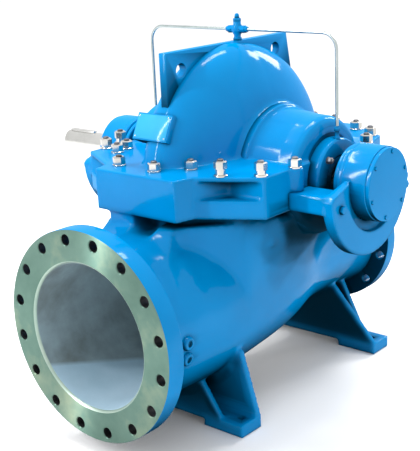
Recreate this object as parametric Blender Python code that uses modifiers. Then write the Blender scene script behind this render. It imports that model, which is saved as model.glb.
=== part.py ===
# Double suction pump, horizontal and axially split, with flanged nozzles in line.
# Units are metres, +Z is up. The pump frame has X along the shaft towards the
# non drive end, Y from the suction nozzle to the discharge nozzle, and Z from
# the floor. The nozzles' common plane is x = 0 and the shaft runs over y = 0.

import math

import bmesh
import bpy
from mathutils import Matrix, Vector

# Heights and main lengths
SHAFT_Z = 0.658
NOZZLE_Z = 0.330
PARTING_Z = SHAFT_Z
SPLIT_FLANGE_TOP = 0.720
SPLIT_FLANGE_BOTTOM = 0.608
SHAFT_DRIVE_END = -0.744
GAP = 0.0003

# Nozzle flanges: sizes of a 400 and a 300 nominal bore
SUCTION = {"face": -0.667, "outer": 0.290, "bore": 0.200, "circle": 0.2625,
           "holes": 16, "hole": 0.015, "thick": 0.055}
DISCHARGE = {"face": 0.5045, "outer": 0.230, "bore": 0.150, "circle": 0.205,
             "holes": 12, "hole": 0.014, "thick": 0.044}
SUCTION_BORE_END = -0.300
DISCHARGE_BORE_END = 0.270

# Split flange, seen from above: the corners of one quarter on the suction side
# and one on the discharge side
SUCTION_CORNERS = [(0.145, -0.458), (0.158, -0.402), (0.321, -0.309), (0.321, -0.222)]
DISCHARGE_CORNERS = [(0.321, 0.217), (0.300, 0.290), (0.170, 0.372), (0.150, 0.404)]
POCKET_SET_BACK = 0.054
POCKET_DEEP_ALONG = 0.086
POCKET_END_WALL = 0.005
POCKET_ROOF = 0.013
TRIM_ALLOWANCE = 0.010
BOSS_PLACE = (0.321, 0.177)
BOSS_RADIUS = 0.022

# Upper casing: the volute's crest grows from its least to its largest radius
CREST_LEAST = 0.340
CREST_MOST = 0.390
CREST_GROWTH_START = math.radians(90.0)
CREST_GROWTH_END = math.radians(152.0)
VOLUTE_HALF_WIDTH = 0.130
VOLUTE_SIDE_RADIUS = 0.180

# Seal chambers at both ends of the casing
CHAMBER_PROFILE = [(0.100, 0.196), (0.124, 0.196), (0.128, 0.189), (0.157, 0.189),
                   (0.165, 0.178), (0.250, 0.168), (0.290, 0.166), (0.302, 0.159),
                   (0.309, 0.144)]
SHAFT_CHANNEL = 0.040
GLAND_RECESS_START = 0.308
GLAND_RECESS_RADIUS = 0.122
GLAND_END = 0.346
GLAND_RADIUS = 0.110

# Bearings
HOUSING_START = 0.400
HOUSING_END = 0.488
HOUSING_RADIUS = 0.103
HOUSING_BORE = 0.0375
JOURNAL_START = 0.406
JOURNAL_END = 0.426
JOURNAL_GAP = 0.0003
INNER_COVER_START = 0.386
INNER_COVER_RADIUS = 0.098
OUTER_COVER_END = 0.500
OPEN_COVER_END = 0.508
OUTER_COVER_RADIUS = 0.100

# Bearing brackets
BRACKET_START = 0.427
BRACKET_END = 0.460
BRACKET_STEP = 0.444
BRACKET_OUTER = 0.194
BRACKET_RECESS = 0.133
BRACKET_CENTRE_Y = -0.018
BRACKET_EAR_TOP = 0.683
ARM_BOTTOM = 0.612
ARM_INNER = 0.120
EAR_CHAMFER = 0.010
BRACKET_OVERLAP = 0.005

# Rotor
SHAFT_RADIUS = 0.0325
SHAFT_TAIL_START = 0.430
SHAFT_TAIL_RADIUS = 0.030
SHAFT_CHAMFER = 0.003
SLEEVE_RADIUS = 0.0365
SLEEVE_TUCK = 0.040
DEFLECTOR_RADIUS = 0.048
RUNNING_CLEARANCE = 0.006
DEFLECTOR_LENGTH = 0.007
SHAFT_NON_DRIVE_END = 0.482
KEY_LENGTH = 0.110
KEY_WIDTH = 0.018
KEY_HEIGHT = 0.011
KEY_SEAT = 0.006
KEY_SET_BACK = 0.012

# Feet
FOOT_OUTER = 0.275
FOOT_INNER = 0.138
FOOT_PAD = 0.035
FOOT_ARCH = 0.020
FOOT_PLATE = 0.018
WIDE_HEAD = 0.300
NARROW_HEAD = 0.280
FRONT_FOOT = {"from": -0.379, "to": -0.294, "wide_at": "to",
              "wide_top": (0.222, 0.215), "narrow_top": (0.125, 0.143), "narrow_base": 0.200}
REAR_FOOT = {"from": 0.299, "to": 0.387, "wide_at": "from",
             "wide_top": (0.150, 0.225), "narrow_top": (0.105, 0.205), "narrow_base": 0.188}
FOOT_BOLT_X = 0.238
FOOT_BOLT_RADIUS = 0.012

# Lifting plate over the volute
LIFTING_TOP = 1.021
LIFTING_FRONT = -0.322
LIFTING_BACK = 0.220
LIFTING_FOOT_BACK = 0.257
LIFTING_THICK = 0.025
LIFTING_HOLE = 0.020
LIFTING_HOLES = [(-0.262, 0.968), (0.162, 0.978)]

# Nameplate on its pad
NAMEPLATE_ANGLE = math.radians(154.0)
NAMEPLATE_CENTRE_X = -0.020
NAMEPLATE_SIZE = (0.116, 0.074)
NAMEPLATE_RADIUS = 0.3925
NAMEPLATE_THICK = 0.0015
NAMEPLATE_MARGIN = 0.004
NAMEPLATE_PAD_DEPTH = 0.045

# Flush piping
TEE_Z = 1.052
TEE_TOP = 1.074
TEE_RADIUS = 0.011
TEE_HALF = 0.016
TEE_NUT_LENGTH = 0.022
VENT_TOP = 1.097
VENT_RADIUS = 0.0115
PIPE_RADIUS = 0.0045
PIPE_FOOT_X = 0.337
PIPE_BEND = 0.045
PIPE_BOSS_HEIGHT = 0.034
PIPE_BOSS_RADIUS = 0.0075
PIPE_BOSS_TUCK = 0.012

# Bare threaded plugs
GAUGE_PLUG_Y = -0.577
GAUGE_PLUG_HEIGHTS = (0.350, 0.303)
GAUGE_PLUG_RADIUS = 0.016
GAUGE_PLUG_END = 0.252

CASTING_BLUE = (0.004, 0.250, 0.640)
PLATE_BLUE = (0.110, 0.480, 0.760)
STEEL = (0.560, 0.570, 0.580)
DARK_STEEL = (0.090, 0.095, 0.100)
FLANGE_METAL = (0.480, 0.560, 0.440)

TURN_STEPS = 48
FACET_TURN = 2.0


def clear_scene():
    for item in list(bpy.data.objects):
        bpy.data.objects.remove(item, do_unlink=True)


def make_collection(name):
    group = bpy.data.collections.new(name)
    bpy.context.scene.collection.children.link(group)
    return group


def make_material(name, colour, roughness, metallic):
    material = bpy.data.materials.new(name)
    material.use_nodes = True
    shader = material.node_tree.nodes["Principled BSDF"]
    shader.inputs["Base Color"].default_value = (*colour, 1.0)
    shader.inputs["Roughness"].default_value = roughness
    shader.inputs["Metallic"].default_value = metallic
    return material


class Workshop:
    """Holds the collections, the frame empty and the materials of the pump."""

    def __init__(self):
        self.parts = make_collection("double_suction_pump")
        self.tools = make_collection("cutters")
        self.materials = {
            "casting": make_material("casting_enamel", CASTING_BLUE, 0.30, 0.0),
            "flange": make_material("flange_metal", FLANGE_METAL, 0.35, 0.6),
            "plate": make_material("nameplate_enamel", PLATE_BLUE, 0.35, 0.2),
            "steel": make_material("bright_steel", STEEL, 0.25, 1.0),
            "dark": make_material("dark_steel", DARK_STEEL, 0.45, 1.0),
        }
        self.shading = angle_shading()
        bpy.ops.object.empty_add(location=frame_offset())
        self.frame = bpy.context.active_object
        self.frame.name = "pump_frame"

    def place(self, item, group):
        for old in list(item.users_collection):
            old.objects.unlink(item)
        group.objects.link(item)

    def part(self, item, name, material, parent=None):
        item.name = name
        item.data.name = name
        item.data.materials.clear()
        item.data.materials.append(self.materials[material])
        item.parent = parent or self.frame
        item.data.shade_smooth()
        item.modifiers.new("shading", "NODES").node_group = self.shading
        self.place(item, self.parts)
        return item

    def tool(self, item, name):
        item.name = name
        item.parent = self.frame
        item.hide_render = True
        item.display_type = "WIRE"
        self.place(item, self.tools)
        return item


def frame_offset():
    """Puts the origin under the middle of the pump's bounding box."""
    middle_x = (SHAFT_DRIVE_END + OUTER_COVER_END) / 2.0
    middle_y = (SUCTION["face"] + DISCHARGE["face"]) / 2.0
    return (-middle_x, -middle_y, 0.0)


def angle_shading():
    """A node group that shades smooth but keeps edges over 35 degrees sharp."""
    group = bpy.data.node_groups.new("smooth_by_angle", "GeometryNodeTree")
    group.interface.new_socket("Geometry", in_out="INPUT", socket_type="NodeSocketGeometry")
    group.interface.new_socket("Geometry", in_out="OUTPUT", socket_type="NodeSocketGeometry")
    nodes = group.nodes
    entry = nodes.new("NodeGroupInput")
    leave = nodes.new("NodeGroupOutput")
    angle = nodes.new("GeometryNodeInputMeshEdgeAngle")
    flat_enough = nodes.new("FunctionNodeCompare")
    flat_enough.operation = "LESS_THAN"
    flat_enough.inputs["B"].default_value = math.radians(35.0)
    by_edge = nodes.new("GeometryNodeSetShadeSmooth")
    by_edge.domain = "EDGE"
    group.links.new(entry.outputs[0], by_edge.inputs["Geometry"])
    group.links.new(angle.outputs["Unsigned Angle"], flat_enough.inputs["A"])
    group.links.new(flat_enough.outputs["Result"], by_edge.inputs["Shade Smooth"])
    group.links.new(by_edge.outputs["Geometry"], leave.inputs[0])
    return group


def new_object(name, mesh):
    item = bpy.data.objects.new(name, mesh)
    bpy.context.scene.collection.objects.link(item)
    return item


def from_bmesh(name, shape):
    mesh = bpy.data.meshes.new(name)
    bmesh.ops.recalc_face_normals(shape, faces=shape.faces)
    shape.to_mesh(mesh)
    shape.free()
    return new_object(name, mesh)


def box(name, low, high):
    shape = bmesh.new()
    bmesh.ops.create_cube(shape, size=1.0)
    size = [h - l for l, h in zip(low, high)]
    middle = [(h + l) / 2.0 for l, h in zip(low, high)]
    bmesh.ops.scale(shape, vec=size, verts=shape.verts)
    bmesh.ops.translate(shape, vec=middle, verts=shape.verts)
    return from_bmesh(name, shape)


def cylinder(name, start, end, radius, sides=40):
    """A cylinder between two points."""
    start = Vector(start)
    end = Vector(end)
    along = end - start
    shape = bmesh.new()
    bmesh.ops.create_cone(shape, cap_ends=True, segments=sides, radius1=radius,
                          radius2=radius, depth=along.length)
    turn = Vector((0.0, 0.0, 1.0)).rotation_difference(along.normalized()).to_matrix().to_4x4()
    shift = Matrix.Translation((start + end) / 2.0)
    bmesh.ops.transform(shape, matrix=shift @ turn, verts=shape.verts)
    return from_bmesh(name, shape)


def turned(name, profile, centre, side=1.0, steps=TURN_STEPS, start=0.0):
    """Turns (distance along the axis, radius) points round an axis along X.

    The distance is counted along +X for side 1 and along -X for side -1, and the
    first facet's edge lies at the start angle.
    """
    mesh = bpy.data.meshes.new(name)
    points = [(radius * math.cos(start), radius * math.sin(start), along)
              for along, radius in profile]
    edges = [(i, i + 1) for i in range(len(points) - 1)]
    if profile[0][1] > 0.0 and profile[-1][1] > 0.0:
        edges.append((len(points) - 1, 0))
    mesh.from_pydata(points, edges, [])
    item = new_object(name, mesh)
    item.location = centre
    item.rotation_euler = (0.0, side * math.pi / 2.0, 0.0)
    screw = item.modifiers.new("turn", "SCREW")
    screw.steps = steps
    screw.render_steps = steps
    screw.use_merge_vertices = True
    screw.merge_threshold = 0.00005
    return item


def circle_points(radius, count, centre=(0.0, 0.0), start=0.0):
    step = 2.0 * math.pi / count
    return [(centre[0] + radius * math.cos(start + i * step),
             centre[1] + radius * math.sin(start + i * step)) for i in range(count)]


def arc_points(radius, centre, start, end, count):
    step = (end - start) / (count - 1)
    return [(centre[0] + radius * math.cos(start + i * step),
             centre[1] + radius * math.sin(start + i * step)) for i in range(count)]


def outline(name, loops, thick):
    """A flat plate from closed loops of points, the first outside and the rest holes."""
    curve = bpy.data.curves.new(name, "CURVE")
    curve.dimensions = "2D"
    curve.fill_mode = "BOTH"
    curve.extrude = thick / 2.0
    for loop in loops:
        spline = curve.splines.new("POLY")
        spline.points.add(len(loop) - 1)
        for point, (x, y) in zip(spline.points, loop):
            point.co = (x, y, 0.0, 1.0)
        spline.use_cyclic_u = True
    return mesh_of_curve(name, curve)


def mesh_of_curve(name, curve):
    item = bpy.data.objects.new(name, curve)
    bpy.context.scene.collection.objects.link(item)
    graph = bpy.context.evaluated_depsgraph_get()
    mesh = bpy.data.meshes.new_from_object(item.evaluated_get(graph))
    shape = bmesh.new()
    shape.from_mesh(mesh)
    bmesh.ops.remove_doubles(shape, verts=shape.verts, dist=0.00001)
    bmesh.ops.recalc_face_normals(shape, faces=shape.faces)
    shape.to_mesh(mesh)
    shape.free()
    solid = new_object(name, mesh)
    solid.matrix_world = item.matrix_world
    bpy.data.objects.remove(item, do_unlink=True)
    return solid


def face_along_x(item, x):
    """Stands a flat plate up so that its outline is (Y, Z) and it faces along X."""
    item.matrix_world = Matrix(((0, 0, 1, x), (1, 0, 0, 0), (0, 1, 0, 0), (0, 0, 0, 1)))
    return item


def face_along_y(item, y):
    """Stands a flat plate up so that its outline is (X, Z) and it faces along Y."""
    item.matrix_world = Matrix(((1, 0, 0, 0), (0, 0, -1, y), (0, 1, 0, 0), (0, 0, 0, 1)))
    return item


def tube(name, points, radius):
    curve = bpy.data.curves.new(name, "CURVE")
    curve.dimensions = "3D"
    curve.bevel_depth = radius
    curve.bevel_resolution = 2
    curve.use_fill_caps = True
    spline = curve.splines.new("POLY")
    spline.points.add(len(points) - 1)
    for point, place in zip(spline.points, points):
        point.co = (*place, 1.0)
    return mesh_of_curve(name, curve)


def combine(item, other, operation, solver="EXACT"):
    change = item.modifiers.new(operation.lower(), "BOOLEAN")
    change.operation = operation
    change.object = other
    change.solver = solver
    return item


def loft(name, rings):
    """Joins closed rings of equally many points and caps both ends."""
    shape = bmesh.new()
    rows = [[shape.verts.new(point) for point in ring] for ring in rings]
    count = len(rows[0])
    for row, following in zip(rows, rows[1:]):
        for i in range(count):
            j = (i + 1) % count
            shape.faces.new((row[i], row[j], following[j], following[i]))
    shape.faces.new(rows[0])
    shape.faces.new(list(reversed(rows[-1])))
    bmesh.ops.triangulate(shape, faces=shape.faces)
    return from_bmesh(name, shape)


def flange_plate(name, low, high, bosses):
    """The split flange between two heights, symmetric about the nozzle plane.

    The upper half also has a half round boss at each end of each long side.
    """
    side = list(SUCTION_CORNERS)
    if bosses:
        x, y = BOSS_PLACE
        for centre in ((x, -y), (x, y)):
            side += arc_points(BOSS_RADIUS, centre, -math.pi / 2.0, math.pi / 2.0, 9)
    side += DISCHARGE_CORNERS
    loop = side + [(-x, y) for x, y in reversed(side)]
    plate = outline(name, [loop], high - low)
    plate.location = (0.0, 0.0, (low + high) / 2.0)
    return plate


def crest_radius(angle):
    """Crest of the volute at an angle from +Y over the top to -Y, and back below."""
    angle = angle % (2.0 * math.pi)
    grown = CREST_MOST - CREST_LEAST
    if angle <= CREST_GROWTH_START:
        return CREST_LEAST
    if angle <= CREST_GROWTH_END:
        share = (angle - CREST_GROWTH_START) / (CREST_GROWTH_END - CREST_GROWTH_START)
        return CREST_LEAST + grown * math.sin(share * math.pi / 2.0)
    if angle <= math.pi:
        return CREST_MOST
    return CREST_MOST - grown * (angle - math.pi) / math.pi


def volute_radius(angle, x):
    """Surface of the volute: a rounded crest that falls to the chambers' radius."""
    share = min(1.0, abs(x) / VOLUTE_HALF_WIDTH)
    rise = (1.0 - share ** 2.2) ** 0.80
    return VOLUTE_SIDE_RADIUS + (crest_radius(angle) - VOLUTE_SIDE_RADIUS) * rise


def volute_solid(name, around=72, across=12):
    shape = bmesh.new()
    places = [-VOLUTE_HALF_WIDTH * math.cos(math.pi * k / across) for k in range(across + 1)]
    rows = []
    for i in range(around):
        angle = 2.0 * math.pi * i / around + math.radians(FACET_TURN)
        row = []
        for x in places:
            radius = volute_radius(angle, x)
            row.append(shape.verts.new((x, radius * math.cos(angle),
                                        SHAFT_Z + radius * math.sin(angle))))
        rows.append(row)
    for i in range(around):
        row = rows[i]
        following = rows[(i + 1) % around]
        for k in range(across):
            shape.faces.new((row[k], row[k + 1], following[k + 1], following[k]))
    shape.faces.new([row[0] for row in rows])
    shape.faces.new([row[-1] for row in reversed(rows)])
    return from_bmesh(name, shape)


def chamber_solid(name):
    """The turned body round the shaft, from one seal chamber's end to the other."""
    far = [(-along, radius) for along, radius in CHAMBER_PROFILE]
    near = list(reversed(CHAMBER_PROFILE))
    profile = [(near[0][0], 0.0)] + near + far + [(far[-1][0], 0.0)]
    return turned(name, profile, (0.0, 0.0, SHAFT_Z))


# Lower body: stations along Y as (y, radius under the nozzles' centre line, half
# width and height of the top over it, how far the top is squared, and the depth
# of the valley between the two suction arms)
BODY_STATIONS = [
    (-0.612, 0.232, 0.232, 0.232, 0.00, 0.000),
    (-0.540, 0.228, 0.228, 0.228, 0.00, 0.000),
    (-0.475, 0.232, 0.150, 0.234, 0.30, 0.000),
    (-0.450, 0.233, 0.118, 0.248, 0.70, 0.008),
    (-0.430, 0.234, 0.116, 0.268, 1.00, 0.028),
    (-0.400, 0.235, 0.136, 0.276, 1.00, 0.036),
    (-0.350, 0.237, 0.182, 0.288, 1.00, 0.020),
    (-0.250, 0.237, 0.255, 0.315, 1.00, 0.000),
    (-0.150, 0.237, 0.300, 0.320, 1.00, 0.000),
    (0.000, 0.236, 0.306, 0.320, 1.00, 0.000),
    (0.110, 0.230, 0.300, 0.318, 0.95, 0.000),
    (0.200, 0.222, 0.280, 0.312, 0.80, 0.000),
    (0.290, 0.208, 0.245, 0.290, 0.50, 0.000),
    (0.370, 0.192, 0.205, 0.235, 0.15, 0.000),
    (0.430, 0.182, 0.184, 0.186, 0.00, 0.000),
    (0.4605, 0.180, 0.180, 0.180, 0.00, 0.000),
]
VALLEY_OUTER = 0.050
VALLEY_WALL = 0.020


def flank(radius, half, top, z):
    """Half width at a height: the top's wall where it is narrow, else a flare."""
    climb = z / top
    if half >= radius:
        return radius + (half - radius) * climb * climb * (3.0 - 2.0 * climb)
    return max(half, math.sqrt(max(0.0, radius * radius - z * z)))


def top_point(angle, station):
    """The section's point seen from the centre line at an angle over the side."""
    y, radius, half, top, squared, valley = station
    across = math.cos(angle)
    up = math.sin(angle)
    near = 0.0
    far = top / max(up, 0.1)
    for _ in range(24):
        reach = (near + far) / 2.0
        inside = reach * across < flank(radius, half, top, reach * up)
        near, far = (reach, far) if inside else (near, reach)
    round_reach = radius + (top - radius) * up
    reach = round_reach + (near - round_reach) * squared
    x = reach * across
    dip = valley * min(1.0, max(0.0, (VALLEY_OUTER - x) / VALLEY_WALL))
    return (x, min(reach * up, top) - dip)


def body_ring(station, grow, quarter=16):
    y, radius, half, top, squared, valley = station
    grown = (y, radius + grow, half + grow, top + grow, squared, valley)
    step = math.pi / (2 * quarter)
    right_top = [top_point(i * step, grown) for i in range(quarter + 1)]
    left_top = [(-x, z) for x, z in reversed(right_top[:-1])]
    under = arc_points(radius + grow, (0.0, 0.0), math.pi, 2.0 * math.pi, 25)[1:-1]
    return [(x, y, NOZZLE_Z + z) for x, z in right_top + left_top + under]


def body_solid(name, grow=0.0):
    return loft(name, [body_ring(station, grow) for station in BODY_STATIONS])


def make_upper_casing(shop):
    casing = volute_solid("upper_casing")
    combine(casing, shop.tool(chamber_solid("chambers"), "upper_chamber_form"), "UNION")
    plate = flange_plate("upper_plate", PARTING_Z - TRIM_ALLOWANCE, SPLIT_FLANGE_TOP, True)
    combine(casing, shop.tool(plate, "upper_flange_form"), "UNION", "MANIFOLD")
    below = box("below", (-1.0, -1.0, -0.5), (1.0, 1.0, PARTING_Z + GAP))
    combine(casing, shop.tool(below, "upper_trim"), "DIFFERENCE", "MANIFOLD")
    combine(casing, shop.tool(shaft_channel(), "upper_channel"), "DIFFERENCE", "MANIFOLD")
    for side in (1.0, -1.0):
        pocket = pocket_cutter(side)
        combine(casing, shop.tool(pocket, "upper_pocket"), "DIFFERENCE", "MANIFOLD")
        recess = shop.tool(gland_recess(side), "upper_gland_recess")
        combine(casing, recess, "DIFFERENCE", "MANIFOLD")
    return shop.part(casing, "upper_casing", "casting")


def shaft_channel():
    """The clear way for the shaft; its facets are turned off those of the chambers."""
    profile = [(0.6, 0.0), (0.6, SHAFT_CHANNEL), (-0.6, SHAFT_CHANNEL), (-0.6, 0.0)]
    return turned("channel", profile, (0.0, 0.0, SHAFT_Z), 1.0, 40, math.radians(FACET_TURN))


def gland_recess(side):
    """The clear space round a gland, in the chamber's end and the split flange."""
    profile = [(0.6, 0.0), (0.6, GLAND_RECESS_RADIUS), (GLAND_RECESS_START, GLAND_RECESS_RADIUS),
               (GLAND_RECESS_START, 0.0)]
    return turned("recess", profile, (0.0, 0.0, SHAFT_Z), side, 44, math.radians(FACET_TURN / 2.0))


def pocket_cutter(side):
    """The wedge cut in under the flange's roof, between the second and third corners."""
    near = Vector(SUCTION_CORNERS[1])
    far = Vector(SUCTION_CORNERS[2])
    along = (far - near).normalized()
    inward = Vector((-along.y, along.x))
    start = near + along * POCKET_END_WALL
    end = far - along * POCKET_END_WALL
    deep = near + along * POCKET_DEEP_ALONG + inward * POCKET_SET_BACK
    outside = inward * 0.05
    corners = [start - outside, end - outside, end, deep, start]
    loop = [(side * corner.x, corner.y) for corner in corners]
    low = PARTING_Z - TRIM_ALLOWANCE
    high = SPLIT_FLANGE_TOP - POCKET_ROOF
    cutter = outline("pocket", [loop], high - low)
    cutter.location = (0.0, 0.0, (low + high) / 2.0)
    return cutter


def make_lower_casing(shop):
    casing = body_solid("lower_casing")
    combine(casing, shop.tool(chamber_solid("chambers"), "lower_chamber_form"), "UNION")
    plate = flange_plate("lower_plate", SPLIT_FLANGE_BOTTOM, PARTING_Z + TRIM_ALLOWANCE, False)
    combine(casing, shop.tool(plate, "lower_flange_form"), "UNION")
    above = box("above", (-1.0, -1.0, PARTING_Z), (1.0, 1.0, 1.5))
    combine(casing, shop.tool(above, "lower_trim"), "DIFFERENCE")
    combine(casing, shop.tool(shaft_channel(), "lower_channel"), "DIFFERENCE")
    for side in (1.0, -1.0):
        combine(casing, shop.tool(gland_recess(side), "lower_gland_recess"), "DIFFERENCE")
    suction = cylinder("suction_bore", (0.0, SUCTION["face"] - 0.1, NOZZLE_Z),
                       (0.0, SUCTION_BORE_END, NOZZLE_Z), SUCTION["bore"], 56)
    combine(casing, shop.tool(suction, "suction_bore"), "DIFFERENCE")
    discharge = cylinder("discharge_bore", (0.0, DISCHARGE_BORE_END, NOZZLE_Z),
                         (0.0, DISCHARGE["face"] + 0.1, NOZZLE_Z), DISCHARGE["bore"], 56)
    combine(casing, shop.tool(discharge, "discharge_bore"), "DIFFERENCE")
    return shop.part(casing, "lower_casing", "casting")


def make_nozzle_flange(shop, name, size, inner_end):
    """A flange ring with its bolt holes straddling the vertical centre line."""
    count = size["holes"]
    loops = [circle_points(size["outer"], 72), circle_points(size["bore"], 56)]
    half_step = math.pi / count
    for centre in circle_points(size["circle"], count, start=half_step):
        loops.append(circle_points(size["hole"], 12, centre))
    ring = outline(name, loops, size["thick"] - GAP)
    middle = (size["face"] + inner_end) / 2.0
    face_along_y(ring, middle)
    ring.location.z = NOZZLE_Z
    return shop.part(ring, name, "flange")


def foot_plate(y_low, half_base, top_corner, head):
    """A transverse plate of a foot with sloping edges and a raised bottom edge."""
    half_top, z_top = top_corner
    right = [(half_base, FOOT_PAD), (half_top, z_top), (half_top * 0.8, head)]
    base = [(-half_base, FOOT_ARCH + 0.002), (half_base, FOOT_ARCH + 0.002)]
    loop = base + right + [(-x, z) for x, z in reversed(right)]
    plate = outline("foot_plate", [loop], FOOT_PLATE)
    return face_along_y(plate, y_low + FOOT_PLATE / 2.0)


def make_foot(shop, name, size):
    foot = box(name, (-FOOT_OUTER, size["from"], FOOT_ARCH), (FOOT_OUTER, size["to"], FOOT_PAD))
    for side in (-1.0, 1.0):
        low_x, high_x = sorted((side * FOOT_INNER, side * FOOT_OUTER))
        pad = box("pad", (low_x, size["from"], 0.0), (high_x, size["to"], FOOT_PAD))
        combine(foot, shop.tool(pad, name + "_pad"), "UNION")
    wide_low = size["to"] - FOOT_PLATE if size["wide_at"] == "to" else size["from"]
    narrow_low = size["from"] if size["wide_at"] == "to" else size["to"] - FOOT_PLATE
    wide = foot_plate(wide_low, FOOT_OUTER, size["wide_top"], WIDE_HEAD)
    narrow = foot_plate(narrow_low, size["narrow_base"], size["narrow_top"], NARROW_HEAD)
    combine(foot, shop.tool(wide, name + "_wide_plate"), "UNION")
    combine(foot, shop.tool(narrow, name + "_narrow_plate"), "UNION")
    grown_body = body_solid("grown_body", GAP)
    combine(foot, shop.tool(grown_body, name + "_body_trim"), "DIFFERENCE")
    middle = (size["from"] + size["to"]) / 2.0
    for side in (-1.0, 1.0):
        hole = cylinder("hole", (side * FOOT_BOLT_X, middle, -0.05),
                        (side * FOOT_BOLT_X, middle, FOOT_PAD + 0.05), FOOT_BOLT_RADIUS, 16)
        combine(foot, shop.tool(hole, name + "_bolt_hole"), "DIFFERENCE")
    return shop.part(foot, name, "casting")


def bracket_loop(inner):
    """The bracket's lower half ring with its two ears, as (Y, Z) points."""
    ear_angle = math.asin((BRACKET_EAR_TOP - SHAFT_Z) / inner)
    inside = arc_points(inner, (0.0, SHAFT_Z), ear_angle, -math.pi - ear_angle, 21)
    low = math.asin((PARTING_Z - ARM_BOTTOM) / BRACKET_OUTER)
    outer = arc_points(BRACKET_OUTER, (BRACKET_CENTRE_Y, SHAFT_Z), math.pi + low,
                       2.0 * math.pi - low, 21)
    near = BRACKET_CENTRE_Y - BRACKET_OUTER
    far = BRACKET_CENTRE_Y + BRACKET_OUTER
    left = [(near + EAR_CHAMFER, PARTING_Z), (near, PARTING_Z - EAR_CHAMFER)]
    right = [(far, PARTING_Z - EAR_CHAMFER), (far - EAR_CHAMFER, PARTING_Z)]
    return left + outer + right + inside


def make_bracket(shop, name, side):
    """Arms from the split flange's end to the half ring that carries a bearing."""
    back = outline(name, [bracket_loop(HOUSING_RADIUS - BRACKET_OVERLAP)], BRACKET_STEP - BRACKET_START)
    face_along_x(back, side * (BRACKET_START + BRACKET_STEP) / 2.0)
    front_start = BRACKET_STEP - BRACKET_OVERLAP
    front = outline("front", [bracket_loop(BRACKET_RECESS)], BRACKET_END - front_start)
    face_along_x(front, side * (BRACKET_END + front_start) / 2.0)
    combine(back, shop.tool(front, name + "_front_form"), "UNION")
    arm_start = SUCTION_CORNERS[-1][0] + GAP
    for y_side in (-1.0, 1.0):
        low_x, high_x = sorted((side * arm_start, side * (BRACKET_START + BRACKET_OVERLAP)))
        outer = BRACKET_CENTRE_Y + y_side * BRACKET_OUTER
        low_y, high_y = sorted((y_side * ARM_INNER, outer))
        arm = box("arm", (low_x, low_y, ARM_BOTTOM), (high_x, high_y, PARTING_Z))
        combine(back, shop.tool(arm, name + "_arm_form"), "UNION")
    seat = shop.tool(grown_housing("housing_trim_form", side), name + "_housing_trim")
    combine(back, seat, "DIFFERENCE")
    return shop.part(back, name, "casting")


def grown_housing(name, side):
    """The bearing housing's outside, pushed out by the gap between touching pieces."""
    radius = HOUSING_RADIUS + GAP
    profile = [(HOUSING_END, 0.0), (HOUSING_END, radius), (HOUSING_START, radius),
               (HOUSING_START, 0.0)]
    return turned(name, profile, (0.0, 0.0, SHAFT_Z), side)


def ring_profile(start, end, outer, bore, edge=0.003):
    """A turned ring with eased outer edges, from the far end down the outer side."""
    return [(end, bore), (end, outer - edge), (end - edge, outer), (start + edge, outer),
            (start, outer - edge), (start, bore)]


def journal_bore():
    """The radius of the facets' edges that keeps the flats off the shaft by the gap."""
    return (SHAFT_RADIUS + JOURNAL_GAP) / math.cos(math.pi / TURN_STEPS)


def make_bearing(shop, prefix, side):
    axis = (0.0, 0.0, SHAFT_Z)
    profile = ring_profile(HOUSING_START, HOUSING_END - GAP, HOUSING_RADIUS, HOUSING_BORE)
    land = journal_bore()
    profile += [(JOURNAL_START, HOUSING_BORE), (JOURNAL_START, land), (JOURNAL_END, land),
                (JOURNAL_END, HOUSING_BORE)]
    housing = turned("housing", profile, axis, side)
    shop.part(housing, prefix + "_bearing_housing", "casting")
    inner = turned("inner", ring_profile(INNER_COVER_START, HOUSING_START - GAP,
                                         INNER_COVER_RADIUS, HOUSING_BORE, 0.002), axis, side)
    shop.part(inner, prefix + "_inner_bearing_cover", "casting")
    bore = HOUSING_BORE if side < 0.0 else 0.0
    profile = ring_profile(HOUSING_END, outer_cover_end(side), OUTER_COVER_RADIUS, bore)
    outer = turned("outer", profile, axis, side)
    shop.part(outer, prefix + "_outer_bearing_cover", "casting")


def outer_cover_end(side):
    return OUTER_COVER_END if side > 0.0 else OPEN_COVER_END


def gland_solid(name, side, grow, bore):
    """A gland that stands in its recess, or its outside pushed out by a gap."""
    start = GLAND_RECESS_START + GAP
    end = GLAND_END + grow
    radius = GLAND_RADIUS + grow
    edge = 0.004
    profile = [(end, bore), (end, radius - edge), (end - edge, radius), (start, radius),
               (start, bore)]
    return turned(name, profile, (0.0, 0.0, SHAFT_Z), side)


def make_gland(shop, prefix, side):
    gland = gland_solid("gland", side, 0.0, SHAFT_CHANNEL)
    shop.part(gland, prefix + "_seal_gland", "casting")


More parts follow.
